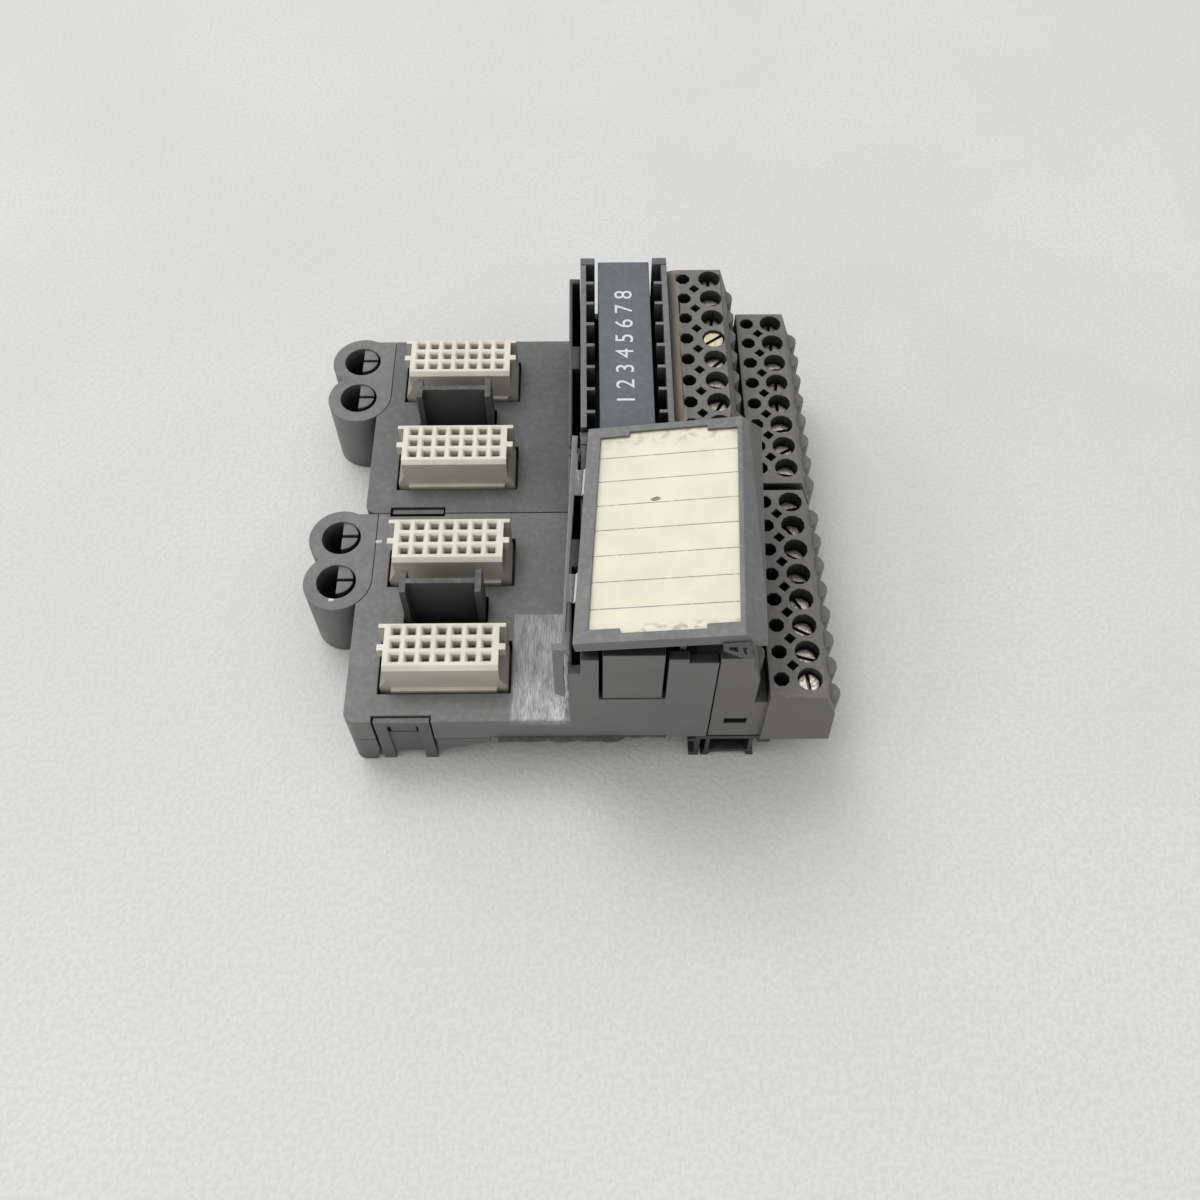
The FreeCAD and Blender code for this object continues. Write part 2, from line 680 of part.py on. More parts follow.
def receptacle(place, end):
    """An ivory socket body: three rows of cavities, a wider back, end keys, splayed ears and a near lip."""
    piece = Piece(f"{end}_receptacle_{place}", slice_start(place))
    middle = "rec_y" if end == "front" else "(rec_y + rec_spacing)"
    foot = f"{BOARD_TOP} + link_gap / 4"
    side = "(rec_length / 2)"
    near, far = f"({middle} - rec_front)", f"({middle} + rec_back)"
    piece.pad("YZ", f"rec_x - {side}", f"rec_x + {side}", outline(
        (near, foot), (far, foot), (far, "rec_top"), (f"{near} + rec_chamfer", "rec_top"),
        (near, "rec_top - rec_chamfer"),
    ))
    piece.pad("XY", foot, "rec_top", rectangle(
        f"rec_x - {side} - wing_out", f"rec_x + {side} + wing_out", f"{far} - wing_thick", far))
    piece.pad("XZ", near, f"{far} - wing_thick", outline(
        (f"rec_x - {side} - ear_out", foot), (f"rec_x + {side} + ear_out", foot),
        (f"rec_x + {side} + ear_out", "lip_top"), (f"rec_x + {side}", "ear_top"),
        (f"rec_x - {side}", "ear_top"), (f"rec_x - {side} - ear_out", "lip_top"),
    ))
    piece.pad("XY", "rec_top - key_tall", "rec_top", block(
        "rec_x", f"({middle} - key_shift)", "rec_length + 2 * key_out", "key_wide"))
    piece.pad("XY", foot, "lip_top", rectangle(
        "rec_x - lip_long / 2", "rec_x + lip_long / 2", f"{near} - lip_out", middle))
    first = "(rec_x - (contact_ways - 1) / 2 * contact_pitch)"
    column = [block(first, f"({middle} + {row} * contact_pitch)", "cavity", "cavity") for row in (-1, 0, 1)]
    cavities = piece.pocket("XY", CAVITY_FLOOR, "rec_top", *column)
    piece.repeat(cavities, "contact_pitch", "contact_ways", "X")


def contacts(place, end):
    """Twenty-one contact blades that stand on the floors of the cavities."""
    piece = Piece(f"{end}_contacts_{place}", slice_start(place))
    middle = "rec_y" if end == "front" else "(rec_y + rec_spacing)"
    first = "(rec_x - (contact_ways - 1) / 2 * contact_pitch)"
    column = [
        block(first, f"({middle} + {row} * contact_pitch)", "contact_long", "contact_wide")
        for row in (-1, 0, 1)
    ]
    blades = piece.pad("XY", f"{CAVITY_FLOOR} + link_gap / 4", "rec_top - contact_drop", *column)
    piece.repeat(blades, "contact_pitch", "contact_ways", "X")


def cell_span(tier):
    """The left and right sides of a tier's clamp cells."""
    return f"({tier.wire_x} - wire_r - slack)", f"({tier.screw_x} + screw_hole_r)"


def clamp_floor(tier):
    """The level where a tier's clamps stand on their links."""
    return f"({tier.top} - roof - slack - clamp_tall)"


def terminal_block(place):
    """The two-tier terminal body: stepped section, bulged flanks, holes and a cell under each way."""
    piece = Piece(f"terminal_block_{place}", slice_start(place))
    crest = [
        ("lower_left", "block_bottom"), ("lower_left", "trench_z"), ("upper_flank", "trench_z"),
        ("upper_flank", "upper_top - flank_drop"), ("upper_right", "upper_top"),
    ]
    piece.pad("XZ", BLOCK_NEAR, "block_end", outline(
        (BLOCK_LEFT, "block_bottom"), *crest, (f"{BLOCK_LEFT} + upper_slope", "upper_top"),
        (BLOCK_LEFT, "upper_top - upper_fall"),
    ))
    piece.pad("XZ", "slack", BLOCK_NEAR, outline(
        (PANEL_LEFT, "block_bottom"), *crest, ("upper_right", "panel_top"), (PANEL_LEFT, "panel_top")))
    piece.pad("XZ", "lower_near", "lower_far", outline(
        ("lower_left", "block_bottom"), ("lower_foot", "block_bottom"),
        ("lower_flank", "lower_top - lower_drop"), ("lower_right", "lower_top"), ("lower_left", "lower_top"),
    ))
    bulges = (
        ("upper_bulge_x", "upper_first", "trench_z", "upper_top - bulge_drop"),
        ("lower_bulge_x", "lower_first", "block_bottom", "lower_top - bulge_drop"),
    )
    for x, first, low, high in bulges:
        bulge = piece.pad("XY", low, high, ring(x, first, "bulge_r", BULGE_SIDES))
        piece.repeat(bulge, "way_pitch", "ways")
    for tier in (UPPER, LOWER):
        left, right = cell_span(tier)
        holes = piece.pocket("XY", f"{tier.top} - roof", tier.top,
                             ring(tier.wire_x, tier.first, "wire_r", WIRE_SIDES),
                             ring(tier.screw_x, tier.first, "screw_hole_r", HOLE_SIDES))
        piece.repeat(holes, "way_pitch", "ways")
        marks = piece.pocket("XY", f"{tier.top} - diamond_deep", tier.top, diamond(
            f"({tier.wire_x} + diamond_shift)", f"({tier.first} + way_pitch / 2)", "diamond"))
        piece.repeat(marks, "way_pitch", "ways - 1")
        cell = piece.pocket("XY", LINK_FLOOR, f"{tier.top} - roof", rectangle(
            left, right, f"{tier.first} - cell_wide / 2", f"{tier.first} + cell_wide / 2"))
        piece.repeat(cell, "way_pitch", "ways")
    _, far_side = cell_span(LOWER)
    piece.pocket("XY", f"{LINK_FLOOR} - link_gap", LINK_ROOF, rectangle(
        BLOCK_LEFT, far_side, "lower_first - link_wide", "upper_first + (ways - 1) * way_pitch + link_wide"))
    piece.pocket("XZ", "slack", "slack + panel_slot_deep", rectangle(
        "panel_slot_left", "panel_slot_left + panel_slot_wide",
        "panel_slot_z", "panel_slot_z + panel_slot_tall"))
    stem_left = f"{RAIL_RIGHT} + foot_leg + foot_grip + foot_space + stem_wide"
    piece.pocket("XY", "block_bottom", "foot_top + stem_tall + link_gap", rectangle(
        f"{stem_left} - link_gap", f"{stem_left} + stem_wide + foot_travel + link_gap",
        "foot_near + stem_long - link_gap", "foot_near + 2 * stem_long + link_gap"))


def clamps(place, tier):
    """Bent clamp bodies, one in each cell, each standing on its link under its screw."""
    piece = Piece(f"{tier.name}_clamps_{place}", slice_start(place))
    left, right = cell_span(tier)
    inner_left, inner_right = f"({left} + slack)", f"({right} - slack)"
    roof = f"({tier.top} - roof - slack)"
    floor = clamp_floor(tier)
    half = "(cell_wide / 2 - slack)"
    clamp = piece.pad("XZ", f"{tier.first} - {half}", f"{tier.first} + {half}", outline(
        (inner_left, floor), (inner_right, floor), (inner_right, f"{floor} + clamp_metal"),
        (f"{inner_left} + clamp_metal", f"{floor} + clamp_metal"), (f"{inner_left} + clamp_metal", roof),
        (inner_left, roof),
    ))
    piece.repeat(clamp, "way_pitch", "ways")


def links(place):
    """Bent links from each clamp down to the board, eight for each tier."""
    piece = Piece(f"links_{place}", slice_start(place))
    low, high = LINK_FLOOR, f"({LINK_FLOOR} + link_thick)"
    for tier in (UPPER, LOWER):
        left, _ = cell_span(tier)
        rise = f"({clamp_floor(tier)} - link_gap / 4)"
        near, far = f"({left} + slack)", f"({left} + slack + link_thick)"
        link = piece.pad("XZ", f"{tier.first} - link_wide / 2", f"{tier.first} + link_wide / 2", outline(
            ("link_left", low), (far, low), (far, rise), (near, rise), (near, high), ("link_left", high)))
        piece.repeat(link, "way_pitch", "ways")


def screws(place, tier):
    """Slotted clamp screws, each at the depth and angle where it was left."""
    made = []
    for way, (turn, drop) in enumerate(zip(tier.turns[place], tier.drops[place])):
        middle = f"({tier.first} + {way} * way_pitch)"
        head = f"({tier.top} - {drop})"
        shank = doc.addObject("Part::Prism", "Shank")
        shank.Polygon = SCREW_SIDES
        slot = doc.addObject("Part::Box", "DriveSlot")
        across, along = f"(screw_r + slack) * cos({turn})", f"(screw_r + slack) * sin({turn})"
        bound = {
            shank: {"Circumradius": "screw_r", "Height": "screw_long", "Placement.Base.x": tier.screw_x,
                    "Placement.Base.y": middle, "Placement.Base.z": f"{head} - screw_long"},
            slot: {"Length": "2 * (screw_r + slack)", "Width": "drive_slot", "Height": "drive_deep + slack",
                   "Placement.Base.x": f"{tier.screw_x} - {across} + drive_slot / 2 * sin({turn})",
                   "Placement.Base.y": f"{middle} - {along} - drive_slot / 2 * cos({turn})",
                   "Placement.Base.z": f"{head} - drive_deep", "Placement.Rotation.Yaw": turn},
        }
        for item, sizes in bound.items():
            for name, expression in sizes.items():
                item.setExpression(name, bind(expression))
        screw = doc.addObject("Part::Cut", "Screw")
        screw.Base, screw.Tool = shank, slot
        made.append(screw)
    group = doc.addObject("Part::Compound", f"{tier.name}_screws_{place}")
    group.Label = f"{tier.name}_screws_{place}"
    group.Links = made
    group.setExpression("Placement.Base.y", bind(slice_start(place)))
    pieces.append(group)


def marker_bar(place):
    """The bar over the duct, whose flaps hang in the end walls' slots. The near one sits high."""
    piece = Piece(f"marker_bar_{place}", slice_start(place))
    near, far = "slack", f"({SLICE} - slack)"
    hang = "(slot_bottom + 2 * slack)"
    top = "(bar_top + bar_lift)" if place == "near" else "bar_top"
    piece.pad("YZ", "duct_mid - bar_wide / 2", "duct_mid + bar_wide / 2", outline(
        (near, hang), (f"{near} + bar_flap", hang), (f"{near} + bar_flap", f"{top} - bar_thick"),
        (f"{far} - bar_flap", f"{top} - bar_thick"), (f"{far} - bar_flap", hang), (far, hang),
        (far, top), (near, top),
    ))


def rail_latch(place):
    """The sliding foot that grips the rail: a toe, a hollow splayed block, a tab and a guide stem."""
    piece = Piece(f"rail_latch_{place}", slice_start(place))
    leg = f"({RAIL_RIGHT} + foot_grip)"
    leg_right = f"({leg} + foot_leg)"
    body = f"({leg_right} + foot_space)"
    body_right = f"({body} + foot_block)"
    tab = f"({body_right} + foot_tab_space)"
    bridge = "(foot_top - foot_bridge)"
    grip_top = "(seat_z - rail_thick - 2 * slack)"
    piece.pad("XZ", "foot_near", "foot_near + foot_long", outline(
        (f"{leg_right} - foot_toe - foot_leg", 0), (leg_right, 0), (leg_right, bridge), (body, bridge),
        (body, "foot_block_floor + foot_splay"), (f"{body} - foot_splay", 0), (f"{body} + foot_splay", 0),
        (f"{body} + 2 * foot_splay", "foot_block_floor"),
        (f"{body_right} - 2 * foot_splay", "foot_block_floor"),
        (f"{body_right} - foot_splay", 0), (f"{body_right} + foot_splay", 0),
        (body_right, "foot_block_floor + foot_splay"), (body_right, bridge), (tab, bridge),
        (tab, "foot_top - foot_tab_tall"), (f"{tab} + foot_tab", "foot_top - foot_tab_tall"),
        (f"{tab} + foot_tab", "foot_top"), (leg, "foot_top"), (leg, grip_top),
        (f"{leg} - foot_grip - foot_catch", f"{grip_top} - slack"),
        (f"{leg} - foot_grip - foot_catch", f"{grip_top} - foot_toe_tall"),
        (leg, f"{grip_top} - foot_toe_tall"), (leg, "foot_toe_tall"),
        (f"{leg_right} - foot_toe - foot_leg", "foot_toe_tall"),
    ))
    piece.pocket("XZ", "foot_near", "foot_near + foot_hollow", rectangle(
        f"{body} + foot_rim", f"{body_right} - foot_rim", "foot_block_floor + foot_rim", bridge))
    stem = f"({leg_right} + foot_space + stem_wide)"
    piece.pad("XY", "foot_top", "foot_top + stem_tall", rectangle(
        stem, f"{stem} + stem_wide", "foot_near + stem_long", "foot_near + 2 * stem_long"))


def set_on_hinge(piece, tilt):
    """Place a body at the middle of the cover's hinge line, turned by yaw and pitch, then tilted about it."""
    bound = {
        "Base.x": "hinge_x", "Base.y": "seam_y - hinge_back", "Base.z": "hinge_z",
        "Rotation.Yaw": f"hinge_yaw * 1 deg - atan(sin(hinge_pitch) * tan({tilt}))",
        "Rotation.Pitch": f"-asin(cos(hinge_pitch) * sin({tilt}))",
        "Rotation.Roll": f"atan(tan(hinge_pitch) / cos({tilt}))",
    }
    for name, expression in bound.items():
        piece.body.setExpression(f"Placement.{name}", bind(expression))


def cover_hinge_rail():
    """The strip that the cover's film hinge hangs on, with a leg in the pocket and an ear at the near end."""
    piece = Piece("cover_hinge_rail")
    right, left = "(-rail_strip_gap)", "(-rail_strip_gap - rail_strip)"
    near, far = "cover_near", "(cover_near + cover_long)"
    top = "(-rail_drop)"
    piece.pad("XY", f"{top} - rail_strip_thick", top, outline(
        (left, near), (right, near), (f"{right} - rail_splay", far), (f"{left} - 2 * rail_splay", far)))
    piece.pad("XY", f"{top} - rail_strip_thick", top, rectangle(left, "-tab_gap", near, f"{near} + end_tab"))
    tab = piece.pad("XY", f"{top} - tab_thick", top, rectangle(
        f"{right} - rail_splay", "-tab_gap", "tab_first", "tab_first + tab_long"))
    piece.repeat(tab, "tab_pitch", 2)
    piece.pad("XY", "-leg_down", top, rectangle(
        "-leg_in - leg_thick", "-leg_in", "leg_near", "leg_near + leg_long"))
    piece.pad("XZ", near, f"{near} + ear_thick", outline(
        ("-ear_left", "-ear_down"), ("ear_wide - ear_left", "-ear_down - ear_point"),
        ("ear_wide - ear_left", top), ("ear_wide / 3 - ear_left", top),
        ("-ear_left", f"{top} - ear_wide / 3")))
    set_on_hinge(piece, "0")


def cover_sides():
    """The left and near edges of the window in the cover's own plane."""
    return "(cover_left + window_left)", "(cover_near + window_near)"


def marker_cover():
    """The hinged cover: a framed tray with a stepped window, a near lip, a sloped flange and two hinge tabs."""
    piece = Piece("marker_cover")
    left, near = cover_sides()
    right, far = f"({left} + window_wide)", f"({near} + window_long)"
    step, step_end = f"({left} + step_left - window_left)", f"({left} + step_left - window_left + step_wide)"
    low, top = "cover_lift", "(cover_lift + cover_thick)"
    edge = "(cover_left + cover_wide)"
    cover_far = "(cover_near + cover_long)"
    piece.pad("XY", low, top, rectangle("cover_left", edge, "cover_near", cover_far))
    piece.pad("XY", f"{low} - cover_lip", low, rectangle(
        "cover_left", edge, "cover_near", "cover_near + cover_lip_thick"))
    piece.pad("XZ", "cover_near", cover_far, outline(
        (f"{edge} - flange_thick", low), (f"{edge} + flange_out - flange_thick", f"{top} - flange_down"),
        (f"{edge} + flange_out", f"{top} - flange_down"), (edge, top), (f"{edge} - flange_thick", top)))
    piece.pocket("XY", CARD_TOP, top, outline(
        (left, near), (step, near), (step, f"{near} - window_step"), (step_end, f"{near} - window_step"),
        (step_end, near), (right, near), (right, far), (step_end, far), (step_end, f"{far} + window_step"),
        (step, f"{far} + window_step"), (step, far), (left, far),
    ))
    piece.pocket("XY", f"{CARD_TOP} - card_thick - slack / 2", CARD_TOP, rectangle(
        f"{left} - card_lap - slack", f"{right} + card_lap / 2 + slack",
        f"{near} - window_step - card_lap - slack", f"{far} + window_step + card_lap + slack"))
    tab = piece.pad("XY", low, f"{low} + tab_thick", rectangle(
        "tab_gap", "cover_left", "tab_first", "tab_first + tab_long"))
    piece.repeat(tab, "tab_pitch", 2)
    set_on_hinge(piece, "cover_tilt")


def legend_card():
    """The card that lies in the cover's slot under its window."""
    piece = Piece("legend_card")
    left, near = cover_sides()
    right, far = f"({left} + window_wide)", f"({near} + window_long)"
    low = f"({CARD_TOP} - card_thick - slack / 2)"
    piece.pad("XY", low, f"{low} + card_thick", rectangle(
        f"{left} - card_lap", f"{right} + card_lap / 2", f"{near} - window_step - card_lap",
        f"{far} + window_step + card_lap"))
    set_on_hinge(piece, "cover_tilt")


for place in ("near", "far"):
    housing(place)
    wire_duct(place)
    base_pan(place)
    bolt_tower(place)
    latch_post(place)
    side_latch(place)
    circuit_board(place)
    for end in ("front", "rear"):
        receptacle(place, end)
        contacts(place, end)
    terminal_block(place)
    for tier in (UPPER, LOWER):
        clamps(place, tier)
        screws(place, tier)
    links(place)
    marker_bar(place)
    rail_latch(place)
cover_hinge_rail()
marker_cover()
legend_card()
doc.recompute()

for item in doc.Objects:
    if {"Invalid", "Error"} & set(item.State):
        raise RuntimeError(f"{item.Label} failed: {item.State}")
os.makedirs("parts", exist_ok=True)
for piece in pieces:
    shape = piece.Shape
    if shape.isNull() or not shape.isValid():
        raise RuntimeError(f"{piece.Label} has no valid shape")
for piece in pieces:
    piece.Shape.exportStep(f"parts/{piece.Label}.step")
    print(f"{piece.Label}: {len(piece.Shape.Solids)} solids, {piece.Shape.Volume:.1f} mm3")
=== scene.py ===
"""Looks for a rail-mounted terminal base of two slices: softened mouldings, worn finishes, a studio.

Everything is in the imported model's frame, in metres: X across the rail, Y along it, Z up from the
floor. Fields and arguments that are sizes are in millimetres, unless their text says otherwise.
"""

import json
import logging
import math
import random
from collections.abc import Callable
from dataclasses import dataclass, field, replace
from enum import Enum

import bmesh
import bpy
from mathutils import Euler, Matrix, Vector


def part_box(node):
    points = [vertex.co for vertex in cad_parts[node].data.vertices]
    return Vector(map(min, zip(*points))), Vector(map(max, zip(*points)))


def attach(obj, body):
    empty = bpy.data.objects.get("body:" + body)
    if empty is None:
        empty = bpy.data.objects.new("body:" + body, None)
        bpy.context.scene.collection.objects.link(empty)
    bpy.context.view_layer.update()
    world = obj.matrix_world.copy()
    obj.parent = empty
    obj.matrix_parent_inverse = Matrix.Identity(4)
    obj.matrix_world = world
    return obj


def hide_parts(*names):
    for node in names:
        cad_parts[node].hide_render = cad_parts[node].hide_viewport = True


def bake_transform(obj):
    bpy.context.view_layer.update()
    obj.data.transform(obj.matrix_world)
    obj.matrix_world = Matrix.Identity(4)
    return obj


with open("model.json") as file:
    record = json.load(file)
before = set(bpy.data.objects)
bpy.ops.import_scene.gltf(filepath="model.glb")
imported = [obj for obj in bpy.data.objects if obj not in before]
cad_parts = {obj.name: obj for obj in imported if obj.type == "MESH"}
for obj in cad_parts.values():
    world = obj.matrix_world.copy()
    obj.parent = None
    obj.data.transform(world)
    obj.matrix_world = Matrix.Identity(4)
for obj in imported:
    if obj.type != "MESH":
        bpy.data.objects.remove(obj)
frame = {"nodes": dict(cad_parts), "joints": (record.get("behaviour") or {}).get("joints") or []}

LOG = logging.getLogger("terminal_base")
MM = 0.001
# Distances in metres within which points count as one, or as level with each other
JOINED_WITHIN = 1e-6
LEVEL_WITHIN = 1e-5
# The least angle between two faces whose edge is bevelled
SHARP = math.radians(28)
EVEN = (1, 1, 1)
UNMOVED = (0, 0, 0)

Spot = tuple[float, float, float]
Rgb = tuple[float, float, float]
Span = tuple[float, float]
Socket = bpy.types.NodeSocket
Material = bpy.types.Material
Shape = bmesh.types.BMesh
Feed = Socket | float | tuple


class Slice(Enum):
    """The two slices of the base, by the ending of their nodes' names."""

    NEAR = "near"
    FAR = "far"


class Row(Enum):
    """The two sockets of a slice."""

    FRONT = "front"
    REAR = "rear"


class Tier(Enum):
    """The two tiers of a terminal block."""

    UPPER = "upper"
    LOWER = "lower"


class Body(Enum):
    """The rigid bodies that pieces ride on."""

    BASE = "base"
    COVER = "cover"
    LATCH_NEAR = "latch_near"
    LATCH_FAR = "latch_far"


class Slot(Enum):
    """The record's material slots, by name."""

    GREY = "grey_plastic"
    DARK = "dark_plastic"
    IVORY = "ivory_plastic"
    BLOCK = "block_plastic"
    BAR = "bar_plastic"
    CARD = "card"
    SCREW = "screw_steel"


def shade(color: Rgb, factor: float) -> Rgb:
    """A colour made lighter or darker by a factor."""
    return tuple(min(1.0, c * factor) for c in color)


class Graph:
    """A builder for the node tree of one material."""

    def __init__(self, name: str) -> None:
        """Start a material whose patterns lie on the piece's own coordinates.

        Args:
            name: The material's name.
        """
        self.material = bpy.data.materials.new(name)
        self.material.use_nodes = True
        self.tree = self.material.node_tree
        self.shader = self.tree.nodes["Principled BSDF"]
        self.place = self.add("ShaderNodeTexCoord").outputs["Object"]

    def feed(self, socket: Socket, value: Feed) -> None:
        """Link a socket to another, or set its value.

        Args:
            socket: The socket to feed.
            value: The other socket, or the value.
        """
        if isinstance(value, Socket):
            self.tree.links.new(value, socket)
        elif isinstance(value, tuple) and socket.type == "RGBA" and len(value) == 3:
            socket.default_value = (*value, 1.0)
        else:
            socket.default_value = value

    def add(self, kind: str, inputs: dict | None = None, **settings: object) -> bpy.types.Node:
        """Add a node.

        Args:
            kind: The node's type name.
            inputs: Values or sockets by input name or number.
            settings: The node's own settings.

        Returns:
            The new node.
        """
        node = self.tree.nodes.new(kind)
        for name, value in settings.items():
            setattr(node, name, value)
        for key, value in (inputs or {}).items():
            self.feed(node.inputs[key], value)
        return node

    def calc(self, operation: str, a: Feed, b: Feed = 0.0) -> Socket:
        """The result of a Math node's operation on two numbers."""
        return self.add("ShaderNodeMath", {0: a, 1: b}, operation=operation).outputs[0]

    def product(self, first: Feed, *others: Feed) -> Socket:
        """The product of some numbers.

        Args:
            first: The first number.
            others: The numbers to multiply it by.

        Returns:
            The socket that gives the product.
        """
        for other in others:
            first = self.calc("MULTIPLY", first, other)
        return first

    def blend(self, share: Feed, a: Feed, b: Feed) -> Socket:
        """A colour between a, at a share of 0, and b, at 1.

        Args:
            share: The share of b.
            a: The first colour.
            b: The second colour.

        Returns:
            The socket that gives the colour.
        """
        node = self.add("ShaderNodeMix", data_type="RGBA")
        for index, value in ((0, share), (6, a), (7, b)):
            self.feed(node.inputs[index], value)
        return node.outputs[2]

    def ramp(self, value: Feed, start: float, end: float, low: float = 0.0,
             high: float = 1.0) -> Socket:
        """A smooth step from low to high as the value goes from start to end.

        Args:
            value: The value that is followed.
            start: The value where the step begins.
            end: The value where it ends, which may be the lower one.
            low: The result at the start.
            high: The result at the end.

        Returns:
            The socket that gives the result.
        """
        if start > end:
            start, end, low, high = end, start, high, low
        inputs = {"Value": value, "From Min": start, "From Max": end, "To Min": low, "To Max": high}
        return self.add("ShaderNodeMapRange", inputs, interpolation_type="SMOOTHSTEP").outputs[0]

    def noise(self, size: float, detail: float, stretch: Spot = EVEN, shift: Spot = UNMOVED) -> Socket:
        """Noise with blobs of about a size, drawn out along the axes whose stretch is over 1.

        Args:
            size: The blobs' size.
            detail: The noise's detail.
            stretch: How far the blobs are drawn out along each axis.
            shift: A shift of the pattern in metres.

        Returns:
            The socket that gives the noise.
        """
        place = self.place
        if stretch != EVEN or shift != UNMOVED:
            inputs = {"Vector": place, "Location": shift, "Scale": tuple(1 / s for s in stretch)}
            place = self.add("ShaderNodeMapping", inputs).outputs[0]
        inputs = {"Vector": place, "Scale": 1 / (size * MM), "Detail": detail}
        return self.add("ShaderNodeTexNoise", inputs).outputs[0]

    def patches(self, size: float, detail: float, cut: Span, shares: Span = (0.0, 1.0),
                stretch: Spot = EVEN, shift: Spot = UNMOVED) -> Socket:
        """Noise cut into patches between two of its levels, with one share outside them and one inside."""
        return self.ramp(self.noise(size, detail, stretch, shift), *cut, *shares)

    def axes(self, place: Socket | None = None) -> list[Socket]:
        """The X, Y and Z of a place on the piece, or of another vector, as they are."""
        return list(self.add("ShaderNodeSeparateXYZ", {0: place or self.place}).outputs)

    def facing(self) -> Socket:
        """The direction that the surface looks in."""
        return self.add("ShaderNodeNewGeometry").outputs["Normal"]

    def turned(self, middle: Vector, turn: Euler) -> Socket:
        """The place in a frame that stands at a middle point, in metres, and is turned."""
        inputs = {"Vector": self.place, "Location": tuple(middle), "Rotation": tuple(turn)}
        return self.add("ShaderNodeMapping", inputs, vector_type="TEXTURE").outputs[0]

    def inside(self, low: Vector, high: Vector, soft: float) -> Socket:
        """A mask that is 1 in a box, given in metres, and fades out over a soft width around it.

        Args:
            low: The box's lowest corner.
            high: Its highest corner.
            soft: The soft width.

        Returns:
            The socket that gives the mask.
        """
        steps = []
        for value, start, end in zip(self.axes(), low, high):
            steps.append(self.ramp(value, start - soft * MM, start))
            steps.append(self.ramp(value, end, end + soft * MM, 1.0, 0.0))
        return self.product(*steps)

    def edges(self, radius: float) -> Socket:
        """A mask of the piece's edges and corners, within a radius of them.

        Args:
            radius: The radius.

        Returns:
            The socket that gives the mask.
        """
        rounded = self.add("ShaderNodeBevel", {"Radius": radius * MM}, samples=3).outputs[0]
        inputs = {0: rounded, 1: self.facing()}
        cosine = self.add("ShaderNodeVectorMath", inputs, operation="DOT_PRODUCT").outputs["Value"]
        return self.ramp(cosine, 0.985, 0.86)

    def upward(self) -> Socket:
        """A mask of the faces that look up, where dust settles."""
        return self.ramp(self.axes(self.facing())[2], 0.55, 0.95)

    def crevice(self, reach: float) -> Socket:
        """A mask of corners and slots by how enclosed they are, for grime and painted shade."""
        node = self.add("ShaderNodeAmbientOcclusion", {"Distance": reach * MM}, samples=3)
        return self.ramp(node.outputs["AO"], 0.75, 0.25)

    def openness(self, reach: float) -> Socket:
        """The share of the view outwards that nothing blocks within a reach."""
        node = self.add("ShaderNodeAmbientOcclusion", {"Distance": reach * MM}, samples=4)
        return node.outputs["AO"]

    def bump(self, height: Feed, depth: float) -> Socket:
        """A bumped normal from a height between 0 and 1 and its depth."""
        inputs = {"Height": height, "Distance": depth * MM, "Strength": 1.0}
        return self.add("ShaderNodeBump", inputs).outputs[0]

    def finish(self, color: Feed, roughness: Feed, normal: Feed, **constants: Feed) -> Material:
        """Wire up the shader.

        Args:
            color: The base colour.
            roughness: The roughness.
            normal: The bumped normal.
            constants: Other values of the shader, by socket name with _ for a space.

        Returns:
            The finished material.
        """
        self.feed(self.shader.inputs["Base Color"], color)
        self.feed(self.shader.inputs["Roughness"], roughness)
        self.feed(self.shader.inputs["Normal"], normal)
        for name, value in constants.items():
            self.feed(self.shader.inputs[name.replace("_", " ")], value)
        return self.material


@dataclass(frozen=True)
class Scuff:
    """A patch of another colour in fine strokes along Y, strongest near and right where it leans."""

    low: Spot
    high: Spot
    color: Rgb
    strength: float
    soft: float = 0.4
    line_width: float = 0.15
    line_length: float = 2.8
    even: float = 0.2
    lean: float = 0.0
    blotch: float = 12.0
    blotch_stretch: float = 2.5

    def mask(self, graph: Graph) -> Socket:
        """The patch's share of the surface, broken up into lines and blotches.

        Args:
            graph: The material's graph.

        Returns:
            The socket that gives the mask.
        """
        low, high = Vector(self.low) * MM, Vector(self.high) * MM
        patch = graph.inside(low, high, self.soft)
        shares = (self.even, 1.0)
        drawn_out = self.line_length / self.line_width
        lines = graph.patches(self.line_width, 3.0, (0.43, 0.56), shares, (1.0, drawn_out, 1.0))
        blotches = graph.patches(self.line_width * self.blotch, 3.0, (0.28, 0.62), shares,
                                 (1.0, self.blotch_stretch, 1.0))
        x, y, _ = graph.axes()
        right = graph.ramp(x, low.x, high.x)
        near = graph.ramp(y, high.y, low.y)
        corner = graph.product(graph.calc("ADD", right, near), 0.5)
        kept = graph.calc("ADD", graph.product(corner, self.lean), 1.0 - self.lean)
        return graph.product(patch, lines, blotches, kept, self.strength)


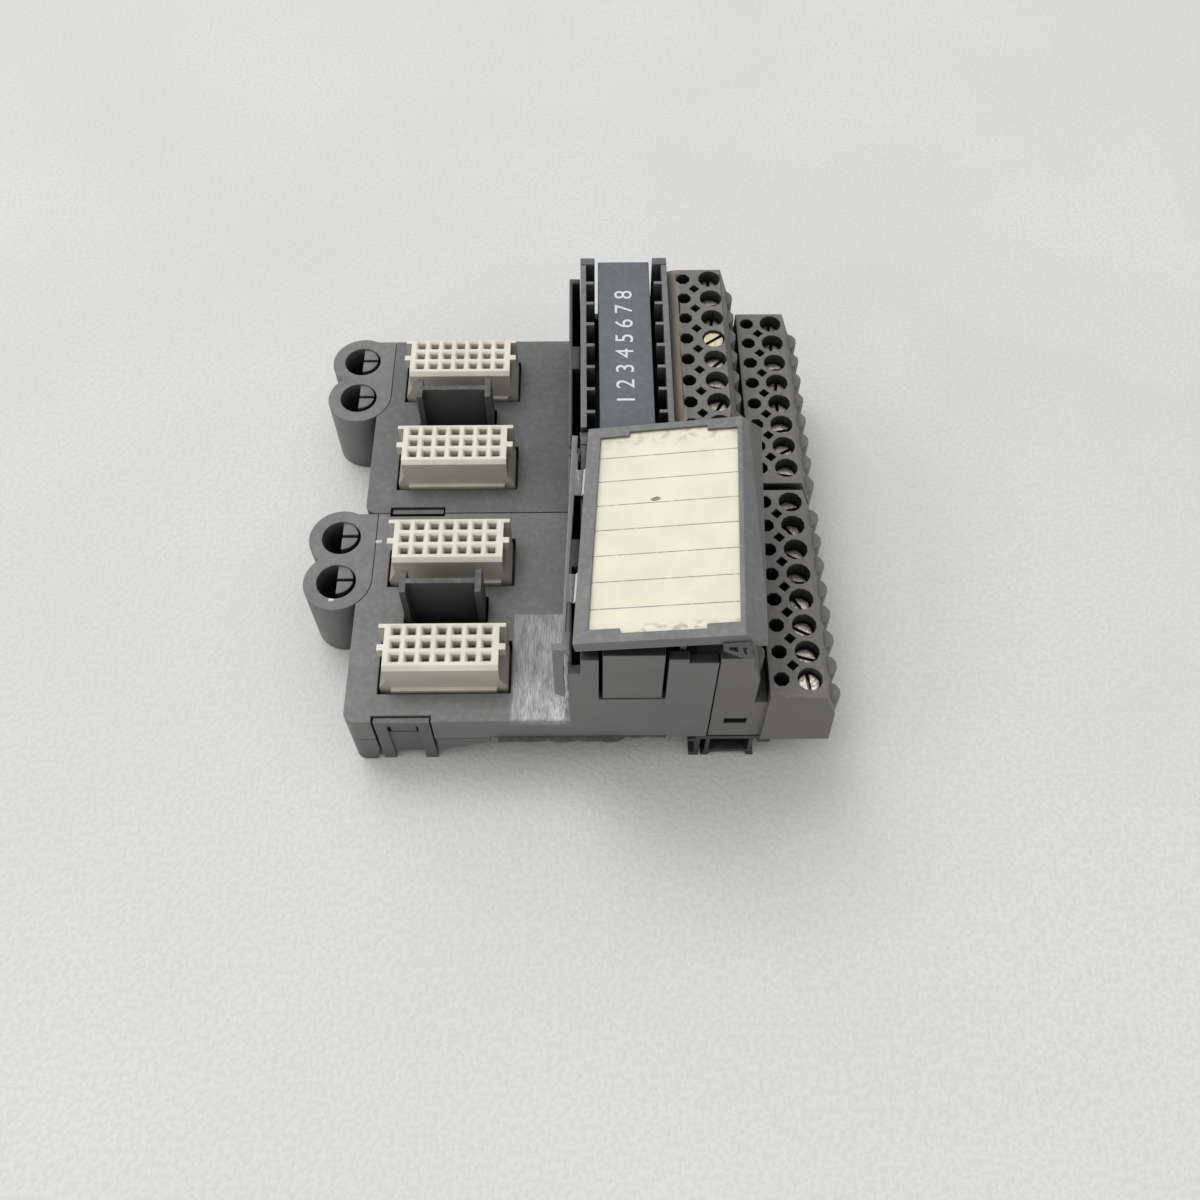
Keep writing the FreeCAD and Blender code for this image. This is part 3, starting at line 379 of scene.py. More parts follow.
@dataclass(frozen=True)
class MouldedPlastic:
    """Fine-grained moulded plastic with settled dust, hair lines, rubbed edges, and grime and painted
    shade in corners.

    Hollows, and faces that look up under the cover, get painted shade by how little is open around them.
    """

    name: str
    color: Rgb
    roughness: float = 0.52
    grain: float = 0.012
    grain_size: float = 0.22
    cloud_size: float = 14.0
    sheen_size: float = 5.0
    dust: float = 0.25
    dust_size: float = 1.1
    dust_color: Rgb = (0.36, 0.355, 0.34)
    hairs: float = 0.22
    hair_width: float = 0.12
    hair_stretch: float = 70.0
    hair_spread: float = 9.0
    hair_shift: Spot = (3, 1, 2)
    edge_wear: float = 0.35
    edge_reach: float = 0.25
    edge_color: Rgb = (0.42, 0.42, 0.41)
    chip_size: float = 1.6
    dirt_and_shade: float = 0.55
    dirt_and_shade_reach: float = 2.2
    open_reach: float = 16.0
    hollow_shade: float = 0.88
    hollow_shade_from: float = 0.45
    hollow_shade_to: float = 0.12
    cover_shadow_heights: Span = (25.0, 27.0)
    cover_shadow_from: float = 0.85
    cover_shadow_to: float = 0.6
    scuffs: tuple[Scuff, ...] = ()

    def material(self) -> Material:
        """Build the material's nodes.

        Returns:
            The finished material.
        """
        graph = Graph(self.name)
        cloud = graph.patches(self.cloud_size, 4.0, (0.3, 0.7))
        color = graph.blend(cloud, shade(self.color, 0.95), shade(self.color, 1.05))
        fine = graph.patches(self.dust_size, 6.0, (0.4, 0.8))
        color = graph.blend(graph.product(fine, graph.upward(), self.dust), color, self.dust_color)
        hair = graph.patches(self.hair_width, 1.0, (0.66, 0.72), stretch=(1, self.hair_stretch, 1))
        spread = graph.patches(self.hair_spread, 2.0, (0.5, 0.7), shift=self.hair_shift)
        color = graph.blend(graph.product(hair, spread, self.hairs), color, self.edge_color)
        chips = graph.patches(self.chip_size, 4.0, (0.38, 0.66))
        rubbed = graph.product(graph.edges(self.edge_reach), chips, self.edge_wear)
        color = graph.blend(rubbed, color, self.edge_color)
        # Grime and painted shade in corners and slots.
        corner_dirt_and_shade = graph.product(graph.crevice(self.dirt_and_shade_reach), self.dirt_and_shade)
        color = graph.blend(corner_dirt_and_shade, color, shade(self.color, 0.34))
        for scuff in self.scuffs:
            color = graph.blend(scuff.mask(graph), color, scuff.color)
        # Painted shade in hollows and under the cover.
        color = graph.blend(self.painted_shade(graph), color, shade(self.color, 0.06))
        gloss = (self.roughness - 0.07, self.roughness + 0.09)
        rough = graph.patches(self.sheen_size, 3.0, (0.2, 0.8), gloss)
        height = graph.noise(self.grain_size, 2.0)
        return graph.finish(color, rough, graph.bump(height, self.grain), Specular_IOR_Level=0.42)

    def painted_shade(self, graph: Graph) -> Socket:
        """The share of painted shade in hollows and on faces that look up under the cover.

        Args:
            graph: The material's graph.

        Returns:
            The socket that gives the mask.
        """
        # Painted shade: hollows darken by how little is open around them, and so do faces that look up
        # under the cover.
        clear = graph.openness(self.open_reach)
        deep = graph.ramp(clear, self.hollow_shade_from, self.hollow_shade_to)
        low, high = self.cover_shadow_heights
        above = graph.ramp(graph.axes()[2], low * MM, high * MM)
        shaded = graph.ramp(clear, self.cover_shadow_from, self.cover_shadow_to)
        under = graph.product(shaded, graph.upward(), above)
        return graph.product(graph.calc("MAXIMUM", deep, under), self.hollow_shade)


@dataclass(frozen=True)
class IvoryPlastic:
    """Satin ivory plastic of a socket body, with painted shade on its sides and ends, darker near its
    foot.
    """

    name: str
    color: Rgb = (0.76, 0.735, 0.63)
    shade_and_grime_color: Rgb = (0.42, 0.4, 0.33)
    cloud_size: float = 4.0
    top: float = 21.4
    foot: float = 12.0
    foot_darkening: float = 0.34
    side_shade: float = 0.62
    end_shade: float = 0.55
    specks: float = 0.5
    speck_size: float = 0.55
    dirt_and_shade: float = 0.32
    dirt_and_shade_reach: float = 1.2
    open_reach: float = 6.0
    hollow_shade: float = 0.2
    gloss: Span = (0.36, 0.5)
    sheen_size: float = 2.5
    grain: float = 0.008
    grain_size: float = 0.3
    glow: float = 0.06
    glow_reach: Spot = (1.2, 1.1, 0.8)

    def material(self) -> Material:
        """Build the material's nodes.

        Returns:
            The finished material.
        """
        graph = Graph(self.name)
        dark = self.shade_and_grime_color
        cloud = graph.patches(self.cloud_size, 4.0, (0.3, 0.72))
        color = graph.blend(cloud, shade(self.color, 0.93), shade(self.color, 1.04))
        # Darker towards the foot.
        low = graph.ramp(graph.axes()[2], self.top * MM, self.foot * MM, 0.0, self.foot_darkening)
        color = graph.blend(low, color, dark)
        # Painted shade on sides and ends outside the cavities, deeper on the ends.
        across, _, up = graph.axes(graph.facing())
        seen = graph.openness(self.open_reach)
        outside = graph.ramp(seen, 0.2, 0.45)
        sides = graph.ramp(up, 0.6, 0.2, 0.0, self.side_shade)
        color = graph.blend(graph.product(sides, outside), color, dark)
        ends = graph.ramp(graph.calc("ABSOLUTE", across), 0.45, 0.8, 0.0, self.end_shade)
        color = graph.blend(graph.product(ends, outside), color, shade(dark, 0.4))
        specks = graph.patches(self.speck_size, 3.0, (0.68, 0.76), (0.0, self.specks))
        color = graph.blend(specks, color, dark)
        # Grime and painted shade in corners.
        corner_dirt_and_shade = graph.product(graph.crevice(self.dirt_and_shade_reach), self.dirt_and_shade)
        color = graph.blend(corner_dirt_and_shade, color, shade(dark, 0.5))
        # Painted shade deep in the cavities.
        deep = graph.ramp(seen, 0.3, 0.06, 0.0, self.hollow_shade)
        color = graph.blend(deep, color, shade(dark, 0.12))
        rough = graph.patches(self.sheen_size, 3.0, (0.2, 0.8), self.gloss)
        normal = graph.bump(graph.noise(self.grain_size, 2.0), self.grain)
        reach = tuple(distance * MM for distance in self.glow_reach)
        return graph.finish(color, rough, normal, Subsurface_Weight=self.glow,
                            Subsurface_Radius=reach, Specular_IOR_Level=0.45)


@dataclass(frozen=True)
class PlatedMetal:
    """Plated metal with fine turning marks, dull spots, and grime and painted shade in its slots.

    It takes painted shade where it sits deep. One place on it may be of a brighter metal.
    """

    name: str
    color: Rgb
    tarnish: Rgb
    roughness: float = 0.34
    dulled: float = 0.22
    spot_size: float = 0.7
    mark_size: float = 0.08
    mark_stretch: Spot = (6, 1, 1)
    mark_depth: float = 0.006
    sunk_shade: float = 0.0
    open_reach: float = 5.0
    dirt_and_shade: float = 0.8
    dirt_and_shade_reach: float = 0.7
    bright_at: Spot | None = None
    bright_color: Rgb = (0.74, 0.66, 0.44)
    bright_reach: float = 2.6

    def material(self) -> Material:
        """Build the material's nodes.

        Returns:
            The finished material.
        """
        graph = Graph(self.name)
        spots = graph.patches(self.spot_size, 5.0, (0.42, 0.66))
        color = graph.blend(spots, self.color, self.tarnish)
        if self.bright_at:
            inputs = {0: graph.place, 1: tuple(Vector(self.bright_at) * MM)}
            away = graph.add("ShaderNodeVectorMath", inputs, operation="DISTANCE").outputs["Value"]
            near = graph.ramp(away, self.bright_reach * MM, self.bright_reach * 0.92 * MM)
            dull = shade(self.bright_color, 0.55)
            brassy = graph.blend(graph.product(spots, 0.5), self.bright_color, dull)
            color = graph.blend(near, color, brassy)
        # Grime and painted shade in slots and corners.
        corner_dirt_and_shade = graph.product(graph.crevice(self.dirt_and_shade_reach), self.dirt_and_shade)
        color = graph.blend(corner_dirt_and_shade, color, shade(self.tarnish, 0.25))
        # Painted shade where the metal sits deep.
        deep = graph.ramp(graph.openness(self.open_reach), 0.55, 0.2, 0.0, self.sunk_shade)
        color = graph.blend(deep, color, shade(self.tarnish, 0.06))
        rough = graph.ramp(spots, 0.0, 1.0, self.roughness, self.roughness + self.dulled)
        marks = graph.noise(self.mark_size, 2.0, self.mark_stretch)
        return graph.finish(color, rough, graph.bump(marks, self.mark_depth), Metallic=1.0)


@dataclass(frozen=True)
class SolderMask:
    """Green board lacquer with paler tracks under it and some dust."""

    name: str
    color: Rgb = (0.012, 0.03, 0.018)
    track_color: Rgb = (0.02, 0.05, 0.03)
    track_scale: float = 120.0
    track_wobble: float = 1.4
    track_height: float = 0.02
    dust: float = 0.4
    dust_size: float = 1.5
    dust_color: Rgb = (0.07, 0.07, 0.06)
    roughness: float = 0.4

    def material(self) -> Material:
        """Build the material's nodes.

        Returns:
            The finished material.
        """
        graph = Graph(self.name)
        inputs = {"Vector": graph.place, "Scale": self.track_scale,
                  "Distortion": self.track_wobble, "Detail": 0.0}
        wave = graph.add("ShaderNodeTexWave", inputs, wave_type="BANDS", bands_direction="Y").outputs[1]
        tracks = graph.ramp(wave, 0.56, 0.64)
        color = graph.blend(tracks, self.color, self.track_color)
        dusty = graph.patches(self.dust_size, 4.0, (0.45, 0.8), (0.0, self.dust))
        color = graph.blend(dusty, color, self.dust_color)
        return graph.finish(color, self.roughness, graph.bump(tracks, self.track_height))


@dataclass(frozen=True)
class RuledCard:
    """Cream card with ruled lines across it, stains at its ends and one small tear.

    The middle is in metres. Places on the card are measured from it, in the card's turned frame.
    """

    name: str
    middle: Vector
    turn: Euler
    half_long: float
    color: Rgb = (0.8, 0.78, 0.63)
    cloud_size: float = 7.0
    line_color: Rgb = (0.12, 0.12, 0.12)
    row: float = 4.95
    line: float = 0.17
    line_shift: float = 0.15
    lines_each_way: int = 3
    past_lines: Span = (1.0, 1.5)
    wear_size: float = 0.8
    stain: float = 0.8
    stain_color: Rgb = (0.46, 0.38, 0.25)
    stain_size: float = 1.1
    stain_stretch: Spot = (1.4, 1, 1)
    far_stain: float = 5.0
    near_stain: Span = (2.9, 1.5)
    freckles: float = 0.45
    freckle_size: float = 0.6
    freckle_shift: Spot = (5, 2, 0)
    tear: Span = (-1.7, 5.5)
    tear_flatten: Span = (0.6, 1.3)
    tear_rim: Span = (1.0, 0.82)
    tear_warp: float = 0.8
    tear_grain: float = 0.9
    tear_depth: float = 3.0
    tear_color: Rgb = (0.1, 0.11, 0.08)
    fibre_size: float = 0.25
    fibre_height: float = 0.01
    roughness: float = 0.62

    def material(self) -> Material:
        """Build the material's nodes.

        Returns:
            The finished material.
        """
        graph = Graph(self.name)
        x, y, _ = graph.axes(graph.turned(self.middle, self.turn))
        cloud = graph.patches(self.cloud_size, 5.0, (0.3, 0.75))
        color = graph.blend(cloud, shade(self.color, 1.03), shade(self.color, 0.92))
        color = graph.blend(self.stained(graph, y), color, self.stain_color)
        freckles = graph.patches(self.freckle_size, 2.0, (0.735, 0.76), (0.0, self.freckles),
                                 shift=self.freckle_shift)
        color = graph.blend(freckles, color, self.stain_color)
        color = graph.blend(self.ruled(graph, y), color, self.line_color)
        torn = self.torn(graph, x, y)
        color = graph.blend(torn, color, self.tear_color)
        fibres = graph.noise(self.fibre_size, 4.0)
        height = graph.calc("SUBTRACT", fibres, graph.product(torn, self.tear_depth))
        normal = graph.bump(height, self.fibre_height)
        return graph.finish(color, self.roughness, normal, Specular_IOR_Level=0.35)

    def stained(self, graph: Graph, y: Socket) -> Socket:
        """The share of stain at the far and near ends.

        Args:
            graph: The material's graph.
            y: The place along the card.

        Returns:
            The socket that gives the mask.
        """
        start, full = self.near_stain
        far = graph.ramp(y, (self.half_long - self.far_stain) * MM, self.half_long * MM)
        near = graph.ramp(y, (start - self.half_long) * MM, (full - self.half_long) * MM)
        patchy = graph.patches(self.stain_size, 7.0, (0.44, 0.66), stretch=self.stain_stretch)
        return graph.product(graph.calc("MAXIMUM", far, near), patchy, self.stain)

    def ruled(self, graph: Graph, y: Socket) -> Socket:
        """The share of ink in the ruled lines, a little worn, without the lines near the ends.

        Args:
            graph: The material's graph.
            y: The place along the card.

        Returns:
            The socket that gives the mask.
        """
        rows = graph.calc("DIVIDE", graph.calc("ADD", y, self.line_shift * MM), self.row * MM)
        away = graph.calc("ABSOLUTE", graph.calc("SUBTRACT", rows, graph.calc("ROUND", rows)))
        share = self.line / self.row
        drawn = graph.ramp(away, share * 0.32, share * 0.62, 1.0, 0.0)
        worn = graph.patches(self.wear_size, 3.0, (0.3, 0.5), (0.45, 0.85))
        last = self.row * self.lines_each_way
        start, end = self.past_lines
        within = graph.ramp(graph.calc("ABSOLUTE", y), (last + start) * MM, (last + end) * MM, 1.0, 0.0)
        return graph.product(drawn, worn, within)

    def torn(self, graph: Graph, x: Socket, y: Socket) -> Socket:
        """The share of the small torn spot, with a warped rim.

        Args:
            graph: The material's graph.
            x: The place across the card.
            y: The place along it.

        Returns:
            The socket that gives the mask.
        """
        squares = []
        for value, at, flatten in zip((x, y), self.tear, self.tear_flatten):
            away = graph.product(graph.calc("SUBTRACT", value, at * MM), flatten)
            squares.append(graph.product(away, away))
        spread = graph.calc("SQRT", graph.calc("ADD", *squares))
        warped = graph.product(graph.noise(self.tear_grain, 3.0), self.tear_warp * MM)
        outer, inner = self.tear_rim
        return graph.ramp(graph.calc("ADD", spread, warped), outer * MM, inner * MM, 0.0, 0.8)


@dataclass(frozen=True)
class Ink:
    """Printed marker paint, a little worn."""

    name: str
    color: Rgb = (0.72, 0.73, 0.74)
    worn_color: Rgb = (0.3, 0.31, 0.33)
    wear: float = 0.5
    wear_size: float = 0.35
    wear_depth: float = 0.004
    roughness: float = 0.55

    def material(self) -> Material:
        """Build the material's nodes.

        Returns:
            The finished material.
        """
        graph = Graph(self.name)
        worn = graph.patches(self.wear_size, 4.0, (0.5, 0.78), (0.0, self.wear))
        color = graph.blend(worn, self.color, self.worn_color)
        return graph.finish(color, self.roughness, graph.bump(worn, self.wear_depth))


@dataclass(frozen=True)
class FoamSheet:
    """Pale foam sheet with fine cells, and painted light that makes it a little paler towards the camera.
    """

    name: str
    color: Rgb = (0.72, 0.715, 0.7)
    cloud_size: float = 60.0
    paler: float = 0.6
    paler_along: Span = (60.0, -220.0)
    cells: float = 0.6
    cell_size: float = 0.9
    cell_depth: float = 0.05
    roughness: float = 0.8

    def material(self) -> Material:
        """Build the material's nodes.

        Returns:
            The finished material.
        """
        graph = Graph(self.name)
        cloud = graph.patches(self.cloud_size, 4.0, (0.3, 0.7))
        color = graph.blend(cloud, shade(self.color, 0.96), shade(self.color, 1.03))
        # Painted light: the sheet grows paler towards the camera.
        far, close = self.paler_along
        near = graph.ramp(graph.axes()[1], far * MM, close * MM)
        color = graph.blend(graph.product(near, self.paler), color, shade(self.color, 1.16))
        cells = graph.patches(self.cell_size, 3.0, (0.35, 0.7))
        color = graph.blend(graph.product(cells, self.cells), color, shade(self.color, 0.92))
        normal = graph.bump(cells, self.cell_depth)
        return graph.finish(color, self.roughness, normal, Specular_IOR_Level=0.2)


Finish = MouldedPlastic | IvoryPlastic | PlatedMetal | SolderMask | RuledCard | Ink


class Workshop:
    """Keeps one material for each finish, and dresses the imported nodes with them."""

    def __init__(self) -> None:
        """Start with no materials made."""
        self.made: dict[str, Material] = {}

    def material(self, finish: Finish) -> Material:
        """The material of a finish, made on first use.

        Args:
            finish: The finish.

        Returns:
            Its material.
        """
        if finish.name not in self.made:
            self.made[finish.name] = finish.material()
        return self.made[finish.name]

    def paint(self, node: str, finish: Finish) -> None:
        """Give a CAD node that keeps its own shape a finish.

        Args:
            node: The CAD node.
            finish: The finish.
        """
        mesh = frame["nodes"][node].data
        mesh.materials.clear()
        mesh.materials.append(self.material(finish))
        LOG.info("painted %s", node)

    def piece(self, name: str, bm: Shape, finish: Finish, slot: Slot,
              body: Body | None) -> bpy.types.Object:
        """Make an object of a finished bmesh.

        Args:
            name: The piece's name.
            bm: Its shape, in place. It is freed.
            finish: Its finish.
            slot: The record's material slot. It is not used.
            body: The body it rides on, or None, which leaves it unattached.

        Returns:
            The new object.
        """
        mesh = bpy.data.meshes.new(name)
        bm.to_mesh(mesh)
        bm.free()
        mesh.materials.append(self.material(finish))
        obj = bpy.data.objects.new(name, mesh)
        bpy.context.scene.collection.objects.link(obj)
        if body:
            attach(obj, body.value)
        LOG.info("made %s with %d faces", name, len(mesh.polygons))
        return obj

    def merged(self, node: str) -> Shape:
        """A copy of a CAD node's mesh with its loose triangles joined.

        Args:
            node: The CAD node.

        Returns:
            The copy, in place.
        """
        bm = bmesh.new()
        bm.from_mesh(frame["nodes"][node].data)
        bmesh.ops.remove_doubles(bm, verts=bm.verts, dist=JOINED_WITHIN)
        return bm

    def bevel(self, bm: Shape, edges: list[bmesh.types.BMEdge], width: float, segments: int) -> None:
        """Bevel those of some edges that are sharp.

        Args:
            bm: The shape.
            edges: The edges.
            width: The bevel's width.
            segments: The number of its segments.
        """
        sharp = [e for e in edges if e.is_manifold and e.calc_face_angle() > SHARP]
        bmesh.ops.bevel(bm, geom=sharp, offset=width * MM, offset_type="OFFSET", segments=segments,
                        profile=0.5, affect="EDGES", clamp_overlap=False, material=-1)

    def soften(self, node: str, radius: float, finish: Finish, slot: Slot, body: Body = Body.BASE,
               shape: Shape | None = None) -> None:
        """Replace a CAD node by a like piece whose edges are rounded.

        Args:
            node: The CAD node.
            radius: The edges' radius.
            finish: The finish.
            slot: The record's material slot.
            body: The body it rides on.
            shape: The joined copy to round, where it was worked on before.
        """
        bm = shape or self.merged(node)
        self.bevel(bm, list(bm.edges), radius, 2)
        for face in bm.faces:
            face.smooth = True
        obj = self.piece(f"{node}_moulding", bm, finish, slot, body)
        weighted = obj.modifiers.new("even_faces", "WEIGHTED_NORMAL")
        weighted.weight = 100
        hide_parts(node)


MOULD_GREY = (0.166, 0.167, 0.166)
GREY = MouldedPlastic("grey_moulding", MOULD_GREY)
# The far slice's housing is a darker copy of the grey: painted shade, with less dust.
GREY_FAR_SHADED = MouldedPlastic("grey_moulding_far_shaded", (0.122, 0.124, 0.126), dust=0.16)
GREY_SCUFFED = MouldedPlastic(
    "grey_moulding_scuffed", MOULD_GREY,
    scuffs=(
        Scuff((-8.2, -41.4, 14.0), (0.2, -21.6, 15.0), (0.52, 0.53, 0.525), 0.95, lean=0.3, even=0.35),
        Scuff((-7.8, -41.4, 14.0), (0.4, -26.0, 15.0), (0.78, 0.79, 0.785), 0.9, soft=1.5,
              line_width=0.09, line_length=1.5, lean=0.9, even=0.05),
        Scuff((-35.6, -30.5, 14.0), (-32.0, -22.8, 15.0), (0.32, 0.32, 0.31), 0.3, soft=1.4,
              line_width=0.3, line_length=0.5, even=0.1),
    ),
)
GREY_CHIPPED = MouldedPlastic(
    "grey_moulding_chipped", MOULD_GREY,
    scuffs=(
        Scuff((-41.2, -18.2, 13.8), (-40.5, -17.6, 15.0), (0.8, 0.8, 0.78), 0.9, soft=0.2, even=0.7),
    ),
)
GLUE = MouldedPlastic("dried_glue", (0.55, 0.53, 0.43), roughness=0.4, dust=0.1, edge_wear=0.0,
                      hollow_shade=0.0)
# The duct takes stronger painted shade in its hollows.
DUCT_GREY = MouldedPlastic("duct_moulding", MOULD_GREY, hollow_shade=0.95, hollow_shade_from=0.66, hollow_shade_to=0.3)
# The pan takes stronger painted shade in its hollows.
PAN_GREY = MouldedPlastic("pan_moulding", shade(MOULD_GREY, 0.85), hollow_shade_from=0.5, hollow_shade_to=0.2)
LATCH_GREY = MouldedPlastic("latch_moulding", shade(MOULD_GREY, 0.75))
COVER_GREY = MouldedPlastic(
    "cover_moulding", MOULD_GREY, dust=0.32, edge_wear=0.6,
    scuffs=(
        # A dark patch on the cover's right flange: painted shade.
        Scuff((31.2, -44.0, 30.0), (40.0, 2.0, 50.0), (0.085, 0.085, 0.08), 0.6, soft=0.3, even=0.9),
    ),
)
RAIL_GREY = MouldedPlastic(
    "rail_moulding", shade(MOULD_GREY, 1.15), edge_wear=1.0, edge_color=(0.62, 0.62, 0.6),
    scuffs=(
        Scuff((1.9, -33.6, 36.0), (4.4, -27.6, 38.6), (0.6, 0.6, 0.58), 0.6, soft=0.5, line_length=1.0),
        Scuff((2.9, -12.6, 36.0), (5.2, -6.8, 38.6), (0.6, 0.6, 0.58), 0.6, soft=0.5, line_length=1.0),
    ),
)
# The torn lip is a near-black copy of the grey with strong darkening in its corners: painted shade under
# the housing's edge.
LIP_GREY_SHADED = MouldedPlastic("torn_lip", (0.085, 0.085, 0.082), edge_wear=0.5,
                          edge_color=(0.3, 0.3, 0.29), dirt_and_shade=0.85)
DARK = MouldedPlastic("charcoal_moulding", (0.075, 0.075, 0.078), dust=0.3, edge_wear=0.8,
                      edge_color=(0.3, 0.29, 0.27), hollow_shade=0.35)
FOOT_DARK = MouldedPlastic("foot_moulding", (0.06, 0.06, 0.062), edge_wear=0.5,
                           edge_color=(0.2, 0.2, 0.19), hollow_shade_from=0.6, hollow_shade_to=0.3)
# The block takes stronger painted shade in its holes and on its faces under the cover.
BLOCK = MouldedPlastic(
    "block_moulding", (0.16, 0.157, 0.148), dust=0.4, dust_color=(0.3, 0.28, 0.25), edge_wear=0.55,
    edge_color=(0.3, 0.29, 0.27), hollow_shade=0.95, hollow_shade_from=0.6, hollow_shade_to=0.28, cover_shadow_from=0.62,
    cover_shadow_to=0.4,
    scuffs=(
        # A brown dust band on the slope left of the upper tier, lightened as painted light where the slope
        # is lit.
        Scuff((19.0, -6.0, 32.6), (21.5, 46.0, 33.7), (0.37, 0.3, 0.21), 1.0, soft=0.5,
              line_length=4.0, lean=0.85, even=0.6),
        # A near-black patch at the block's near foot: painted shadow.
        Scuff((26.8, -41.5, 12.6), (30.8, -40.4, 14.8), (0.01, 0.01, 0.01), 1.0, soft=0.05, even=1.0),
    ),
)
BAR = MouldedPlastic("bar_moulding_near", (0.155, 0.155, 0.15), roughness=0.42, dust=0.15)
SLATE_BAR = MouldedPlastic("bar_moulding_far", (0.117, 0.128, 0.142), roughness=0.42, dust=0.15)
WHITENED = MouldedPlastic("stressed_film", (0.66, 0.66, 0.64), roughness=0.6, dust=0.0,
                          edge_wear=0.0, hollow_shade=0.3)
TORN = MouldedPlastic("torn_plastic", (0.1, 0.1, 0.1), roughness=0.6, edge_wear=0.55,
                      edge_color=(0.5, 0.5, 0.48), hollow_shade=0.3)
IVORY = IvoryPlastic("socket_ivory")
TIN = PlatedMetal("tinned_contact", (0.6, 0.48, 0.25), (0.34, 0.27, 0.15), roughness=0.5, dirt_and_shade=0.2)
ZINC = PlatedMetal("zinc_clamp", (0.55, 0.55, 0.53), (0.36, 0.35, 0.32))
COPPER = PlatedMetal("tinned_link", (0.62, 0.5, 0.36), (0.36, 0.27, 0.2))
# The screws sit deep in their wells and take painted shade there.
STEEL = PlatedMetal("screw_steel_near", (0.97, 0.94, 0.85), (0.4, 0.37, 0.3), spot_size=0.5,
                    mark_depth=0.02, sunk_shade=0.75)
LACQUER = SolderMask("board_lacquer")
NUMERAL_INK = Ink("numeral_ink")
FOAM = FoamSheet("pale_foam")


@dataclass(frozen=True)
class TornWeb:
    """A thin web of torn plastic: a grid with ragged lines, from which some cells are missing."""

    columns: int
    levels: tuple[float, ...]
    thick: float
    seed: int
    holes: tuple[tuple[int, int], ...] = ()

    def shape(self, place: Callable[[float, float, float], Vector]) -> Shape:
        """Build the web.

        Args:
            place: Gives the point, in metres, at a share along the web, a share across it and a
                raggedness of -1 to 1.

        Returns:
            The web, in place.
        """
        draw = random.Random(self.seed)
        last = len(self.levels) - 1
        bm = bmesh.new()
        bmesh.ops.create_grid(bm, x_segments=self.columns, y_segments=last, size=0.5)
        lost = []
        for face in bm.faces:
            middle = face.calc_center_median()
            cell = (int((middle.x + 0.5) * self.columns), int((middle.y + 0.5) * last))
            if cell in self.holes:
                lost.append(face)
        bmesh.ops.delete(bm, geom=lost, context="FACES")
        for vert in sorted(bm.verts, key=lambda v: (round(v.co.y, 4), round(v.co.x, 4))):
            level = self.levels[round((vert.co.y + 0.5) * last)]
            vert.co = place(vert.co.x + 0.5, level, draw.uniform(-1.0, 1.0))
        bmesh.ops.recalc_face_normals(bm, faces=bm.faces)
        bmesh.ops.solidify(bm, geom=bm.faces[:], thickness=self.thick * MM)
        bmesh.ops.recalc_face_normals(bm, faces=bm.faces)
        return bm


